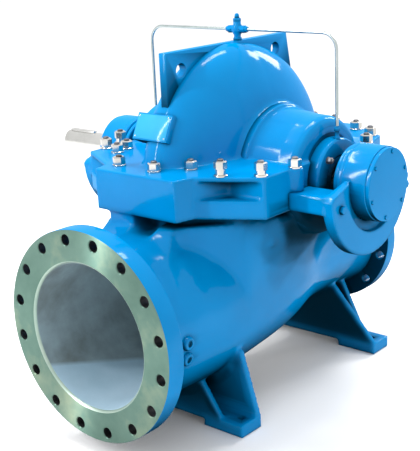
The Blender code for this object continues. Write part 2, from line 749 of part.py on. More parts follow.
def make_rotor(shop):
    bpy.ops.object.empty_add(location=(0.0, 0.0, SHAFT_Z))
    axis = bpy.context.active_object
    axis.name = "rotor_axis"
    axis.parent = shop.frame
    profile = [(SHAFT_NON_DRIVE_END, 0.0), (SHAFT_NON_DRIVE_END, SHAFT_TAIL_RADIUS),
               (SHAFT_TAIL_START, SHAFT_TAIL_RADIUS), (SHAFT_TAIL_START, SHAFT_RADIUS),
               (SHAFT_DRIVE_END + SHAFT_CHAMFER, SHAFT_RADIUS),
               (SHAFT_DRIVE_END, SHAFT_RADIUS - SHAFT_CHAMFER), (SHAFT_DRIVE_END, 0.0)]
    shaft = turned("shaft", profile, (0.0, 0.0, 0.0))
    key_low = SHAFT_DRIVE_END + KEY_SET_BACK
    seat = SHAFT_RADIUS - KEY_SEAT
    slot = box("slot", (key_low - GAP, -KEY_WIDTH / 2.0 - GAP, seat - GAP),
               (key_low + KEY_LENGTH + GAP, KEY_WIDTH / 2.0 + GAP, seat + 2.0 * KEY_HEIGHT))
    slot = shop.tool(slot, "key_slot")
    slot.parent = axis
    combine(shaft, slot, "DIFFERENCE")
    shop.part(shaft, "shaft", "steel", axis)
    key = box("key", (key_low, -KEY_WIDTH / 2.0, seat),
              (key_low + KEY_LENGTH, KEY_WIDTH / 2.0, seat + KEY_HEIGHT))
    shop.part(key, "shaft_key", "steel", axis)
    for prefix, side in (("drive_end", -1.0), ("non_drive_end", 1.0)):
        start = CHAMBER_PROFILE[-1][0] - SLEEVE_TUCK
        end = INNER_COVER_START - DEFLECTOR_LENGTH - RUNNING_CLEARANCE
        sleeve = turned("sleeve", [(end - GAP, SHAFT_RADIUS + GAP), (end - GAP, SLEEVE_RADIUS),
                                   (start, SLEEVE_RADIUS), (start, SHAFT_RADIUS + GAP)],
                        (0.0, 0.0, 0.0), side)
        shop.part(sleeve, prefix + "_shaft_sleeve", "steel", axis)
        deflector = turned("deflector", ring_profile(end, end + DEFLECTOR_LENGTH,
                                                     DEFLECTOR_RADIUS, SHAFT_RADIUS + GAP, 0.001),
                           (0.0, 0.0, 0.0), side)
        shop.part(deflector, prefix + "_deflector", "dark", axis)
    return axis


def make_lifting_plate(shop):
    """The plate stands on the crest, so its lower edge is cut to the crest's curve."""
    sunk = 0.006
    count = 15
    angle_front = math.radians(146.0)
    angle_back = math.atan2(0.224, LIFTING_FOOT_BACK)
    edge = []
    for i in range(count):
        angle = angle_front + (angle_back - angle_front) * i / (count - 1)
        radius = crest_radius(angle) - sunk
        edge.append((radius * math.cos(angle), SHAFT_Z + radius * math.sin(angle)))
    loop = edge + [(LIFTING_BACK, LIFTING_TOP), (LIFTING_FRONT, LIFTING_TOP)]
    loops = [loop] + [circle_points(LIFTING_HOLE, 20, centre) for centre in LIFTING_HOLES]
    plate = face_along_x(outline("lifting_plate", loops, LIFTING_THICK), 0.0)
    crest = shop.tool(grown_volute("plate_trim_form"), "lifting_plate_trim")
    combine(plate, crest, "DIFFERENCE")
    return shop.part(plate, "lifting_plate", "casting")


def make_nameplate(shop):
    normal = Vector((0.0, math.cos(NAMEPLATE_ANGLE), math.sin(NAMEPLATE_ANGLE)))
    place = Vector((NAMEPLATE_CENTRE_X, 0.0, SHAFT_Z)) + normal * NAMEPLATE_RADIUS
    tilt = NAMEPLATE_ANGLE - math.pi / 2.0
    width, height = NAMEPLATE_SIZE
    half_width = width / 2.0 + NAMEPLATE_MARGIN
    half_height = height / 2.0 + NAMEPLATE_MARGIN
    pad = box("pad", (-half_width, -half_height, -NAMEPLATE_PAD_DEPTH),
              (half_width, half_height, 0.0))
    pad.location = place
    pad.rotation_euler = (tilt, 0.0, 0.0)
    crest = shop.tool(grown_volute("nameplate_trim_form"), "nameplate_trim")
    combine(pad, crest, "DIFFERENCE")
    shop.part(pad, "nameplate_pad", "casting")
    plate = box("plate", (-width / 2.0, -height / 2.0, GAP),
                (width / 2.0, height / 2.0, GAP + NAMEPLATE_THICK))
    plate.location = place
    plate.rotation_euler = (tilt, 0.0, 0.0)
    shop.part(plate, "nameplate", "plate")


def grown_volute(name):
    """The volute's solid pushed out by the gap that touching pieces keep."""
    item = volute_solid(name)
    centre = Vector((0.0, 0.0, SHAFT_Z))
    for vertex in item.data.vertices:
        away = vertex.co - centre
        away.x = 0.0
        if away.length > 0.0:
            vertex.co = vertex.co + away.normalized() * GAP
    return item


def bend_points(corner, start_dir, end_dir, radius, count=7):
    """Points of a quarter bend that rounds a corner between two directions."""
    corner = Vector(corner)
    start_dir = Vector(start_dir)
    end_dir = Vector(end_dir)
    centre = corner - start_dir * radius + end_dir * radius
    points = []
    for i in range(count):
        angle = (math.pi / 2.0) * i / (count - 1)
        points.append(centre - end_dir * radius * math.cos(angle) + start_dir * radius * math.sin(angle))
    return points


def make_flush_piping(shop):
    """The cross fitting on the lifting plate and a pipe down to each gland."""
    tee = cylinder("tee", (0.0, 0.0, LIFTING_TOP + GAP), (0.0, 0.0, TEE_TOP), TEE_RADIUS, 24)
    arm = cylinder("arm", (-TEE_HALF, 0.0, TEE_Z), (TEE_HALF, 0.0, TEE_Z), TEE_RADIUS - 0.0005, 24)
    combine(tee, shop.tool(arm, "tee_arm_form"), "UNION")
    shop.part(tee, "flush_tee", "casting")
    plug = cylinder("plug", (0.0, 0.0, TEE_TOP + GAP), (0.0, 0.0, VENT_TOP), VENT_RADIUS, 6)
    shop.part(plug, "vent_plug", "casting")
    for prefix, side in (("drive_end", -1.0), ("non_drive_end", 1.0)):
        nut_end = TEE_HALF + TEE_NUT_LENGTH
        nut = cylinder("nut", (side * (TEE_HALF + GAP), 0.0, TEE_Z), (side * nut_end, 0.0, TEE_Z),
                       TEE_RADIUS, 6)
        shop.part(nut, prefix + "_tee_nut", "casting")
        foot_x = side * PIPE_FOOT_X
        low = SHAFT_Z + GLAND_RADIUS + PIPE_BOSS_HEIGHT
        route = [(side * (nut_end + GAP), 0.0, TEE_Z)]
        route += bend_points((foot_x, 0.0, TEE_Z), (side, 0.0, 0.0), (0.0, 0.0, -1.0), PIPE_BEND)
        route.append((foot_x, 0.0, low + GAP))
        pipe = tube("pipe", [tuple(point) for point in route], PIPE_RADIUS)
        shop.part(pipe, prefix + "_flush_pipe", "steel")
        boss = cylinder("boss", (foot_x, 0.0, SHAFT_Z + GLAND_RADIUS - PIPE_BOSS_TUCK),
                        (foot_x, 0.0, low), PIPE_BOSS_RADIUS, 6)
        form = shop.tool(gland_solid("boss_trim_form", side, GAP, 0.0), prefix + "_boss_trim")
        combine(boss, form, "DIFFERENCE")
        shop.part(boss, prefix + "_pipe_fitting", "casting")


def make_plugs(shop):
    """Two bare threaded plugs behind the suction flange."""
    neck = BODY_STATIONS[1][1]
    for number, z in enumerate(GAUGE_PLUG_HEIGHTS):
        slope = math.asin((z - NOZZLE_Z) / neck)
        direction = Vector((math.cos(slope), 0.0, math.sin(slope)))
        centre = Vector((0.0, GAUGE_PLUG_Y, NOZZLE_Z))
        boss = cylinder("gauge", centre + direction * (neck - 0.005),
                        centre + direction * GAUGE_PLUG_END, GAUGE_PLUG_RADIUS, 20)
        trim = shop.tool(body_solid("gauge_trim_form", GAP), "gauge_trim")
        combine(boss, trim, "DIFFERENCE")
        shop.part(boss, "suction_gauge_plug_" + str(number + 1), "casting")


def main():
    clear_scene()
    shop = Workshop()
    make_lower_casing(shop)
    make_nozzle_flange(shop, "suction_flange", SUCTION, SUCTION["face"] + SUCTION["thick"] - GAP)
    make_nozzle_flange(shop, "discharge_flange", DISCHARGE,
                       DISCHARGE["face"] - DISCHARGE["thick"] + GAP)
    make_foot(shop, "front_foot", FRONT_FOOT)
    make_foot(shop, "rear_foot", REAR_FOOT)
    make_upper_casing(shop)
    make_lifting_plate(shop)
    make_nameplate(shop)
    for prefix, side in (("drive_end", -1.0), ("non_drive_end", 1.0)):
        make_bracket(shop, prefix + "_bearing_bracket", side)
        make_bearing(shop, prefix, side)
        make_gland(shop, prefix, side)
    make_rotor(shop)
    make_flush_piping(shop)
    make_plugs(shop)


main()
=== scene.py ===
# %% [markdown]
# # A double suction pump
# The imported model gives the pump's solids and says which of them turn with the
# shaft. This lesson dresses them: cast iron with filleted corners under blue
# enamel, machined flanges, chromed nuts and steel pipes.

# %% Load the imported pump
import math

import bmesh
import bpy
import numpy as np
from mathutils import Matrix, Vector
from mathutils.bvhtree import BVHTree


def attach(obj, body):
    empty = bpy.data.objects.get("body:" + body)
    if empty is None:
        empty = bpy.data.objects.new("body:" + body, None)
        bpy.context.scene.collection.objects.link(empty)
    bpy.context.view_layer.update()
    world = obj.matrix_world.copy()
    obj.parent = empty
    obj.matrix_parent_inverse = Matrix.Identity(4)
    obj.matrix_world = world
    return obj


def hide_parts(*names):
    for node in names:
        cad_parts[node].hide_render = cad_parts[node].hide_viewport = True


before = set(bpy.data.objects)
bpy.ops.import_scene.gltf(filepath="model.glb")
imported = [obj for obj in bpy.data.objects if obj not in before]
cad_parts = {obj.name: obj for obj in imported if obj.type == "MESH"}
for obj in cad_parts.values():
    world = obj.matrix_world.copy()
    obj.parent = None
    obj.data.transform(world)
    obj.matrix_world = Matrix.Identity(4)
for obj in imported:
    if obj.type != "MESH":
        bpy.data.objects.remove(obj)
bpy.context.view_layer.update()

# %% [markdown]
# ## Where things are
# The solids stand with the middle of their box over the origin. It is easier to
# think from the shaft, so every size below counts x along the shaft from the
# nozzles' plane, y across it and z up from the floor. Each piece is moved by one
# offset when it is finished.

# %% Main places
TO_FRAME = Vector((0.122, 0.08125, 0.0))
SHAFT_Z = 0.658
NOZZLE_Z = 0.330
PARTING_Z = 0.658
FLANGE_TOP = 0.720
FLANGE_BOTTOM = 0.608
ON_SHAFT, ON_NOZZLES = (0.0, 0.0, SHAFT_Z), (0.0, 0.0, NOZZLE_Z)
AXIS = {"x": Vector((1, 0, 0)), "y": Vector((0, 1, 0)), "z": Vector((0, 0, 1))}
ENDS = (("drive_end", -1.0), ("non_drive_end", 1.0))


def clamped(value):
    return min(1.0, max(0.0, value))


# %% [markdown]
# ## Finishes
# Enamel on cast iron is a smooth, slightly uneven gloss: the colour hardly
# changes, but the surface waves a little where the sand mould did, and the paint
# has a fine orange peel. Machined faces show turning lines. All of it is made
# from nodes on Object coordinates, so it stays put when a piece turns.

# %% Helpers for materials
def add_node(material, kind, inputs=None, **settings):
    """Adds a node; each input takes a value or another node's output."""
    node = material.node_tree.nodes.new(kind)
    for key, value in settings.items():
        setattr(node, key, value)
    for key, value in (inputs or {}).items():
        if isinstance(value, bpy.types.NodeSocket):
            wire(material, value, node.inputs[key])
        else:
            node.inputs[key].default_value = value
    return node


def wire(material, source, target):
    material.node_tree.links.new(source, target)


def new_material(name, colour, roughness, metallic):
    material = bpy.data.materials.new(name)
    material.use_nodes = True
    shader = material.node_tree.nodes["Principled BSDF"]
    shader.inputs["Base Color"].default_value = (*colour, 1.0)
    shader.inputs["Roughness"].default_value = roughness
    shader.inputs["Metallic"].default_value = metallic
    return material, shader


def object_space(material, centre=(0.0, 0.0, 0.0)):
    """Object coordinates with their zero at a place given from the shaft."""
    coordinates = add_node(material, "ShaderNodeTexCoord")
    inputs = {"Location": Vector(centre) + TO_FRAME, "Vector": coordinates.outputs["Object"]}
    return add_node(material, "ShaderNodeMapping", inputs, vector_type="TEXTURE").outputs["Vector"]


def noise(material, vector, scale, detail=3.0, roughness=0.5):
    inputs = {"Vector": vector, "Scale": scale, "Detail": detail, "Roughness": roughness}
    return add_node(material, "ShaderNodeTexNoise", inputs).outputs["Fac"]


def ramp(material, value, stops):
    """Colours for a value: stops are (place, colour)."""
    node = add_node(material, "ShaderNodeValToRGB", {"Fac": value})
    while len(node.color_ramp.elements) < len(stops):
        node.color_ramp.elements.new(0.5)
    for element, (place, colour) in zip(node.color_ramp.elements, stops):
        element.position = place
        element.color = (*colour, 1.0)
    return node.outputs["Color"]


def between(material, value, low, high):
    """Maps a value from 0..1 to low..high."""
    inputs = {"Value": value, "To Min": low, "To Max": high}
    return add_node(material, "ShaderNodeMapRange", inputs).outputs["Result"]


def bump(material, shader, heights):
    """Chains bump nodes: heights are (value, strength, distance)."""
    last = {}
    for value, strength, distance in heights:
        inputs = {"Height": value, "Strength": strength, "Distance": distance, **last}
        last = {"Normal": add_node(material, "ShaderNodeBump", inputs).outputs["Normal"]}
    wire(material, last["Normal"], shader.inputs["Normal"])


# %% Blue enamel over cast iron
# the near black blue that the enamel is painted towards where there is shade
PAINTED_SHADE_COLOUR = (0.0, 0.018, 0.036, 1.0)
COAT, COAT_UNDER_SHADE = 0.27, 0.02


def enamel(name, deep, middle, pale):
    material, shader = new_material(name, middle, 0.24, 0.0)
    space = object_space(material)
    clouds = noise(material, space, 5.0, 4.0)
    colour = ramp(material, clouds, [(0.30, deep), (0.52, middle), (0.72, pale)])
    # painted shade: a point attribute darkens the colour in corners, under overhangs and
    # underneath
    painted_shade = add_node(material, "ShaderNodeAttribute", attribute_name="painted_shade").outputs["Fac"]
    shade_layer = add_node(material, "ShaderNodeMix", {0: painted_shade, 6: colour, 7: PAINTED_SHADE_COLOUR}, data_type="RGBA")
    wire(material, shade_layer.outputs[2], shader.inputs["Base Color"])
    film = noise(material, space, 26.0, 3.0)
    wire(material, between(material, film, 0.14, 0.25), shader.inputs["Roughness"])
    shader.inputs["Specular IOR Level"].default_value = 0.0
    # where shade is painted the coat is thinned as well, so its gloss doesn't lift the shade
    shader.inputs["Coat Weight"].default_value = COAT
    wire(material, between(material, painted_shade, COAT, COAT_UNDER_SHADE), shader.inputs["Coat Weight"])
    shader.inputs["Coat Roughness"].default_value = 0.10
    sand = noise(material, space, 34.0, 2.0)
    peel = noise(material, space, 420.0, 1.0)
    bump(material, shader, [(sand, 0.10, 0.0012), (peel, 0.05, 0.0003)])
    return material


casting_paint = enamel("blue_enamel", (0.0, 0.186, 0.455), (0.0, 0.206, 0.498),
                       (0.0, 0.220, 0.528))
plate_blue = enamel("plate_enamel", (0.020, 0.290, 0.560), (0.030, 0.320, 0.600),
                    (0.050, 0.350, 0.630))
print("paints", casting_paint.name, plate_blue.name)

# %% Machined flange faces
def turned_metal(name, colours, centre, axis, line_scale, roughness, metallic=1.0):
    """Metal with fine turning lines round an axis, and soft stains of colour."""
    material, shader = new_material(name, colours[1], roughness, metallic)
    space = object_space(material, centre)
    stains = noise(material, space, 4.2, 5.0, 0.6)
    colour = ramp(material, stains, list(zip((0.34, 0.52, 0.68), colours)))
    wire(material, colour, shader.inputs["Base Color"])
    inputs = {"Vector": space, "Scale": line_scale, "Distortion": 0.4, "Detail": 1.0}
    lines = add_node(material, "ShaderNodeTexWave", inputs, wave_type="RINGS",
                     rings_direction=axis)
    fog = noise(material, space, 18.0, 4.0)
    wire(material, between(material, fog, roughness - 0.07, roughness + 0.09),
         shader.inputs["Roughness"])
    bump(material, shader, [(lines.outputs["Fac"], 0.10, 0.0003), (fog, 0.05, 0.0008)])
    return material, shader


face_metal, face_shader = turned_metal(
    "machined_flange", ((0.080, 0.155, 0.125), (0.118, 0.208, 0.170), (0.240, 0.310, 0.225)),
    (0.0, -0.667, NOZZLE_Z), "Y", 130.0, 0.44, 0.8)
face_shader.inputs["Anisotropic"].default_value = 0.92
face_shader.inputs["Anisotropic Rotation"].default_value = 0.25
tangent = add_node(face_metal, "ShaderNodeTangent", direction_type="RADIAL", axis="Y")
wire(face_metal, tangent.outputs["Tangent"], face_shader.inputs["Tangent"])
print("face metal", face_metal.name)

# %% Steel, chrome and the edge of the bores
shaft_steel, _ = turned_metal(
    "ground_shaft", ((0.42, 0.42, 0.40), (0.56, 0.56, 0.54), (0.66, 0.66, 0.64)),
    ON_SHAFT, "X", 300.0, 0.20)
pipe_steel, _ = turned_metal(
    "drawn_pipe_steel", ((0.30, 0.35, 0.35), (0.40, 0.46, 0.46), (0.52, 0.57, 0.57)),
    (0.0, 0.0, 1.0), "Z", 60.0, 0.24)
chrome, _ = turned_metal(
    "bright_plated_steel", ((0.48, 0.47, 0.44), (0.62, 0.61, 0.58), (0.76, 0.75, 0.72)),
    (0.0, 0.0, FLANGE_TOP), "Z", 200.0, 0.16)
lip_metal, _ = turned_metal(
    "bore_lip", ((0.26, 0.36, 0.31), (0.33, 0.43, 0.37), (0.42, 0.51, 0.44)),
    ON_NOZZLES, "Y", 130.0, 0.36, 0.8)
dark_steel, _ = turned_metal(
    "oiled_dark_steel", ((0.05, 0.05, 0.05), (0.10, 0.10, 0.11), (0.17, 0.17, 0.18)),
    ON_SHAFT, "X", 120.0, 0.42, 0.9)
print("metals", [item.name for item in (shaft_steel, pipe_steel, chrome, lip_metal, dark_steel)])

# %% Coating of the bores, lighter below a slanting edge
LIGHTER_PLANE, LIGHTER_LEVEL, LIGHTER_BLEND = (-0.2818, 0.2884, 0.9151), 0.0480, 0.006


def bore_coating(name):
    material, shader = new_material(name, (0.13, 0.19, 0.25), 0.5, 0.0)
    space = object_space(material)
    flow = noise(material, space, 6.0, 5.0, 0.6)
    dull = ramp(material, flow, [(0.32, (0.140, 0.172, 0.176)), (0.54, (0.235, 0.310, 0.340)),
                                 (0.74, (0.310, 0.420, 0.470))])
    # the lighter tone, used below the slanting plane
    fresh = ramp(material, flow, [(0.32, (0.330, 0.490, 0.600)), (0.74, (0.440, 0.600, 0.720))])
    level = add_node(material, "ShaderNodeVectorMath", {0: space, 1: LIGHTER_PLANE},
                     operation="DOT_PRODUCT")
    inputs = {"Value": level.outputs["Value"], "From Min": LIGHTER_LEVEL - LIGHTER_BLEND,
              "From Max": LIGHTER_LEVEL + LIGHTER_BLEND, "To Min": 1.0, "To Max": 0.0}
    step = add_node(material, "ShaderNodeMapRange", inputs)
    coat = add_node(material, "ShaderNodeMix", {0: step.outputs["Result"], 6: dull, 7: fresh},
                    data_type="RGBA")
    wire(material, coat.outputs[2], shader.inputs["Base Color"])
    grit = noise(material, space, 70.0, 4.0, 0.6)
    wire(material, between(material, grit, 0.36, 0.62), shader.inputs["Roughness"])
    bump(material, shader, [(flow, 0.20, 0.003), (grit, 0.22, 0.0009)])
    return material


bore_grey = bore_coating("bore_coating")
print("coating", bore_grey.name)

# %% [markdown]
# ## Making and finishing a piece
# A bmesh operator works on loose geometry that belongs to no object yet. When a
# shape is done it becomes a mesh, moves by the offset, and rides on the body of
# the CAD model that it belongs to, so it turns with the shaft or stays.

# %% From a shape to a riding piece
def to_mesh(name, shape, offset=TO_FRAME):
    bmesh.ops.translate(shape, vec=offset, verts=shape.verts)
    mesh = bpy.data.meshes.new(name)
    shape.to_mesh(mesh)
    shape.free()
    item = bpy.data.objects.new(name, mesh)
    bpy.context.scene.collection.objects.link(item)
    return item


def finish(item, materials=(casting_paint,), body="casing", replaces=(),
           sharp=38.0):
    mesh = item.data
    for material in materials:
        mesh.materials.append(material)
    mesh.shade_smooth()
    mesh.set_sharp_from_angle(angle=math.radians(sharp))
    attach(item, body)
    if replaces:
        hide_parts(*replaces)
    print(item.name, len(mesh.polygons), "faces")


def piece(name, shape, material=casting_paint, body="casing",
          replaces=()):
    finish(to_mesh(name, shape), [material], body, replaces)


def applied(item):
    """Bakes an object's modifiers into its mesh."""
    graph = bpy.context.evaluated_depsgraph_get()
    mesh = bpy.data.meshes.new_from_object(item.evaluated_get(graph))
    item.modifiers.clear()
    old = item.data
    item.data = mesh
    bpy.data.meshes.remove(old)


def cut_away(item, cutter, solver="EXACT", offset=TO_FRAME):
    """Takes a shape out of an object."""
    tool = to_mesh("cutter", cutter, offset)
    cut = item.modifiers.new("cut", "BOOLEAN")
    cut.operation = "DIFFERENCE"
    cut.solver = solver
    cut.object = tool
    applied(item)
    bpy.data.objects.remove(tool)
    print(item.name, "cut to", len(item.data.polygons), "faces")


# %% [markdown]
# ## Shapes by operator
# Nearly everything on a pump is turned, extruded from an outline, or a bar with
# flats. So there is one helper that spins a profile, one that extrudes an
# outline, and one that rounds the corners of either before it is used.

# %% Round the corners of a line
def eased(points, radius, closed=False, count=4):
    """Replaces each corner by a short curve that starts a radius away from it."""
    result = []
    last = len(points)
    for i, point in enumerate(points):
        here = Vector(point)
        if not closed and i in (0, last - 1):
            result.append(tuple(here))
            continue
        before = Vector(points[i - 1]) - here
        after = Vector(points[(i + 1) % last]) - here
        start = here + before.normalized() * min(radius, before.length * 0.45)
        end = here + after.normalized() * min(radius, after.length * 0.45)
        for k in range(count + 1):
            t = k / count
            spot = start * (1 - t) ** 2 + here * 2 * t * (1 - t) + end * t ** 2
            result.append(tuple(spot))
    return result


def turn_to(axis, centre):
    """A matrix that lays +Z along an axis and moves the origin to a centre."""
    along = axis if isinstance(axis, Vector) else AXIS[axis]
    turn = AXIS["z"].rotation_difference(along.normalized()).to_matrix().to_4x4()
    return Matrix.Translation(Vector(centre)) @ turn


def since(shape, before):
    """The points that a shape has gained."""
    return [vert for vert in shape.verts if vert not in before]


def face_outwards(shape, verts):
    faces = list({face for vert in verts for face in vert.link_faces})
    bmesh.ops.recalc_face_normals(shape, faces=faces)
    return faces


def extended(shape, edges):
    """Extrudes edges and gives the new points and edges."""
    parts = bmesh.ops.extrude_edge_only(shape, edges=edges)["geom"]
    return ([part for part in parts if isinstance(part, bmesh.types.BMVert)],
            [part for part in parts if isinstance(part, bmesh.types.BMEdge)])


# %% Spin a profile of (distance along the axis, radius)
def spun(profile, axis, centre, steps=96, shape=None, closed=False):
    shape = shape or bmesh.new()
    fresh = [shape.verts.new((radius, 0.0, along)) for along, radius in profile]
    pairs = list(zip(fresh, fresh[1:])) + ([(fresh[-1], fresh[0])] if closed else [])
    edges = [shape.edges.new(pair) for pair in pairs]
    before = set(shape.verts) - set(fresh)
    bmesh.ops.spin(shape, geom=fresh + edges, cent=(0, 0, 0), axis=(0, 0, 1),
                   angle=2 * math.pi, steps=steps, use_merge=True)
    made = since(shape, before)
    bmesh.ops.remove_doubles(shape, verts=made, dist=1e-6)
    made = since(shape, before)
    face_outwards(shape, made)
    bmesh.ops.transform(shape, matrix=turn_to(axis, centre), verts=made)
    return shape


# %% Extrude an outline of (u, v) points between two places along an axis
PLANES = {"x": Matrix(((0, 0, 1, 0), (1, 0, 0, 0), (0, 1, 0, 0), (0, 0, 0, 1))),
          "y": Matrix(((1, 0, 0, 0), (0, 0, 1, 0), (0, 1, 0, 0), (0, 0, 0, 1))),
          "z": Matrix.Identity(4)}


def extruded(loop, axis, low, high, shape=None, soft=0.0):
    shape = shape or bmesh.new()
    before = set(shape.verts)
    base = [shape.verts.new((u, v, low)) for u, v in loop]
    face = shape.faces.new(base)
    parts = bmesh.ops.extrude_face_region(shape, geom=[face])["geom"]
    top = [part for part in parts if isinstance(part, bmesh.types.BMVert)]
    bmesh.ops.translate(shape, vec=(0, 0, high - low), verts=top)
    made = since(shape, before)
    faces = face_outwards(shape, made)
    if soft > 0.0:
        rims = [edge for edge in {edge for face in faces for edge in face.edges}
                if edge.calc_face_angle(0.0) > math.radians(30)]
        bmesh.ops.bevel(shape, geom=rims, offset=soft, offset_type="OFFSET", affect="EDGES",
                        segments=2, profile=0.5, material=-1, clamp_overlap=True)
        made = since(shape, before)
    bmesh.ops.transform(shape, matrix=PLANES[axis], verts=made)
    face_outwards(shape, made)
    return shape


def block(low, high, shape=None, soft=0.0):
    loop = [(low[0], low[1]), (high[0], low[1]), (high[0], high[1]), (low[0], high[1])]
    return extruded(loop, "z", low[2], high[2], shape, soft)


def arc(radius, centre, start, step, count):
    return [(centre[0] + radius * math.cos(start + i * step),
             centre[1] + radius * math.sin(start + i * step)) for i in range(count)]


def circle(radius, count, centre=(0.0, 0.0), start=0.0):
    return arc(radius, centre, start, 2 * math.pi / count, count)


def rod(low, high, radius):
    """The profile of a plain round bar, to be spun."""
    return [(low, 0.0), (low, radius), (high, radius), (high, 0.0)]


# %% [markdown]
# ## The casting
# The casing is cast, so every inner corner has a fillet and every outer edge is
# softened. Bevelling such a junction of spun, lofted and flat shapes by hand is
# slow. Instead the plain forms are joined by a voxel remesh, and then each point
# may creep outwards only, towards the mean of its neighbours: inner corners fill
# up into fillets while faces and outer edges stay where they are.

# %% Fillet by creeping outwards
HERE = Vector((0.0, 0.0, 0.0))
CREEP_FULL = 0.006
DRAW_IN, PUSH_OUT, CREEP_STEP = 0.50, 0.52, 0.6


def neighbours(mesh):
    """Both ends of every edge, and how many edges meet at every point."""
    count = len(mesh.vertices)
    ends = np.empty(len(mesh.edges) * 2, dtype=np.int64)
    mesh.edges.foreach_get("vertices", ends)
    first, second = ends.reshape(-1, 2).T
    meeting = np.bincount(first, minlength=count) + np.bincount(second, minlength=count)
    return first, second, meeting


def soften(mesh, rounds, calm=None):
    count = len(mesh.vertices)
    place = np.empty(count * 3)
    mesh.vertices.foreach_get("co", place)
    place = place.reshape(-1, 3)
    first, second, valence = neighbours(mesh)

    def pull():
        total = [np.bincount(first, place[second, k], count)
                 + np.bincount(second, place[first, k], count) for k in range(3)]
        return np.stack(total, 1) / valence[:, None] - place

    def even_out(times):
        for _ in range(times):
            place[:] += pull() * DRAW_IN
            place[:] -= pull() * PUSH_OUT

    even_out(4)
    weight = np.ones(count) if calm is None else calm(place)
    normal = np.empty(count * 3)
    crept = np.zeros(count)
    for turn in range(rounds):
        if turn % 6 == 0:
            mesh.vertices.foreach_set("co", place.ravel())
            mesh.update()
            mesh.vertices.foreach_get("normal", normal)
            way = normal.reshape(-1, 3)
        out = np.maximum((pull() * way).sum(1), 0.0) * weight * CREEP_STEP
        place += way * out[:, None]
        crept += out
    even_out(2)
    mesh.vertices.foreach_set("co", place.ravel())
    mesh.update()
    # painted shade: the further a point crept into an inner corner, the darker its enamel
    shade_layer = mesh.attributes.new("painted_shade", "FLOAT", "POINT")
    shade_layer.data.foreach_set("value", np.clip(crept / CREEP_FULL - 0.5, 0.0, 0.35))


# %% Join forms by voxels
def voxel_cast(name, forms, voxel, rounds, calm=None):
    whole = bmesh.new()
    for form in forms:
        mesh = bpy.data.meshes.new("form")
        form.to_mesh(mesh)
        form.free()
        whole.from_mesh(mesh)
        bpy.data.meshes.remove(mesh)
    item = to_mesh(name, whole, HERE)
    remesh = item.modifiers.new("voxels", "REMESH")
    remesh.mode = "VOXEL"
    remesh.voxel_size = voxel
    applied(item)
    soften(item.data, rounds, calm)
    print(name, "cast with", len(item.data.polygons), "faces")
    return item


# %% [markdown]
# ### The volute and the seal chambers
# Seen along the shaft the casing is a spiral: its crest grows from the discharge
# side over the top to the suction side. Across the shaft it is a rounded rim that
# falls to the two seal chambers. One profile is spun round the shaft and every
# point is then moved out to the larger of volute and chamber, with a soft maximum
# that leaves a fillet between them.

# %% The volute's radius, as in the CAD source
CREST_LEAST, CREST_MOST = 0.340, 0.390
VOLUTE_HALF_WIDTH = 0.130
VOLUTE_SIDE_RADIUS = 0.180
# distance from the middle and radius of the seal chambers
CHAMBER = [(0.000, 0.190), (0.100, 0.196), (0.124, 0.196), (0.128, 0.189), (0.157, 0.189),
           (0.165, 0.178), (0.250, 0.168), (0.290, 0.166), (0.302, 0.159), (0.309, 0.144)]
CASING_END = 0.309
SKIN = 0.0015
CREST_GROWS, CREST_FULL = math.radians(62), math.radians(152)


def crest_radius(angle):
    """The CAD's spiral, at an angle from the discharge side over the top."""
    angle = angle % (2 * math.pi)
    grown = CREST_MOST - CREST_LEAST
    if angle <= math.pi / 2:
        return CREST_LEAST
    if angle <= CREST_FULL:
        share = (angle - math.pi / 2) / CREST_GROWS
        return CREST_LEAST + grown * math.sin(share * math.pi / 2)
    if angle <= math.pi:
        return CREST_MOST
    return CREST_MOST - grown * (angle - math.pi) / math.pi


# %% The cast round: volute and chambers as one skin
# the real spiral starts sooner: fuller over the top, a little flatter behind
FULLER, FULLER_AT, FULLER_SPREAD = 0.016, 96.0, 24.0
FLATTER, FLATTER_BEFORE, FLATTER_BLEND = 0.006, 48.0, 5.0
RIM_CURVE, RIM_FULLNESS, RIM_FILLET = 2.2, 0.80, 0.012


def casing_radius(angle, x):
    chamber = float(np.interp(abs(x), *zip(*CHAMBER))) - SKIN
    share = abs(x) / VOLUTE_HALF_WIDTH
    if share >= 1.0:
        return chamber
    rise = (1.0 - share ** RIM_CURVE) ** RIM_FULLNESS
    crest = crest_radius(angle)
    if 0.0 < angle < math.pi:
        turned = math.degrees(angle)
        crest += FULLER * math.exp(-((turned - FULLER_AT) / FULLER_SPREAD) ** 2)
        crest -= FLATTER / (1.0 + math.exp((turned - FLATTER_BEFORE) / FLATTER_BLEND))
    volute = VOLUTE_SIDE_RADIUS + (crest - VOLUTE_SIDE_RADIUS) * rise
    near = max(RIM_FILLET - abs(volute - chamber), 0.0) / RIM_FILLET
    return max(volute, chamber) + near * near * RIM_FILLET / 4


def casing_round():
    places = [CASING_END * k / 150 for k in range(-150, 151)]
    profile = [(-CASING_END, 0.0)] + [(x, 0.2) for x in places] + [(CASING_END, 0.0)]
    shape = spun(profile, "z", HERE, 200)
    bmesh.ops.transform(shape, matrix=PLANES["x"], verts=shape.verts)
    for vert in shape.verts:
        radius = math.hypot(vert.co.y, vert.co.z)
        if radius > 0.1:
            angle = math.atan2(vert.co.z, vert.co.y)
            grow = casing_radius(angle, vert.co.x) / radius
            vert.co = (vert.co.x, vert.co.y * grow, vert.co.z * grow)
    bmesh.ops.translate(shape, vec=(0, 0, SHAFT_Z), verts=shape.verts)
    bmesh.ops.recalc_face_normals(shape, faces=shape.faces)
    return shape


# %% [markdown]
# ### The lower body
# Water comes in through the big nozzle, divides into two arms round the shaft,
# and leaves through the smaller nozzle in line. Its sections are given at a few
# places along y, as in the CAD source, and a ring of points is extruded from one
# to the next. The two bores are part of the same skin, turned in at both ends.

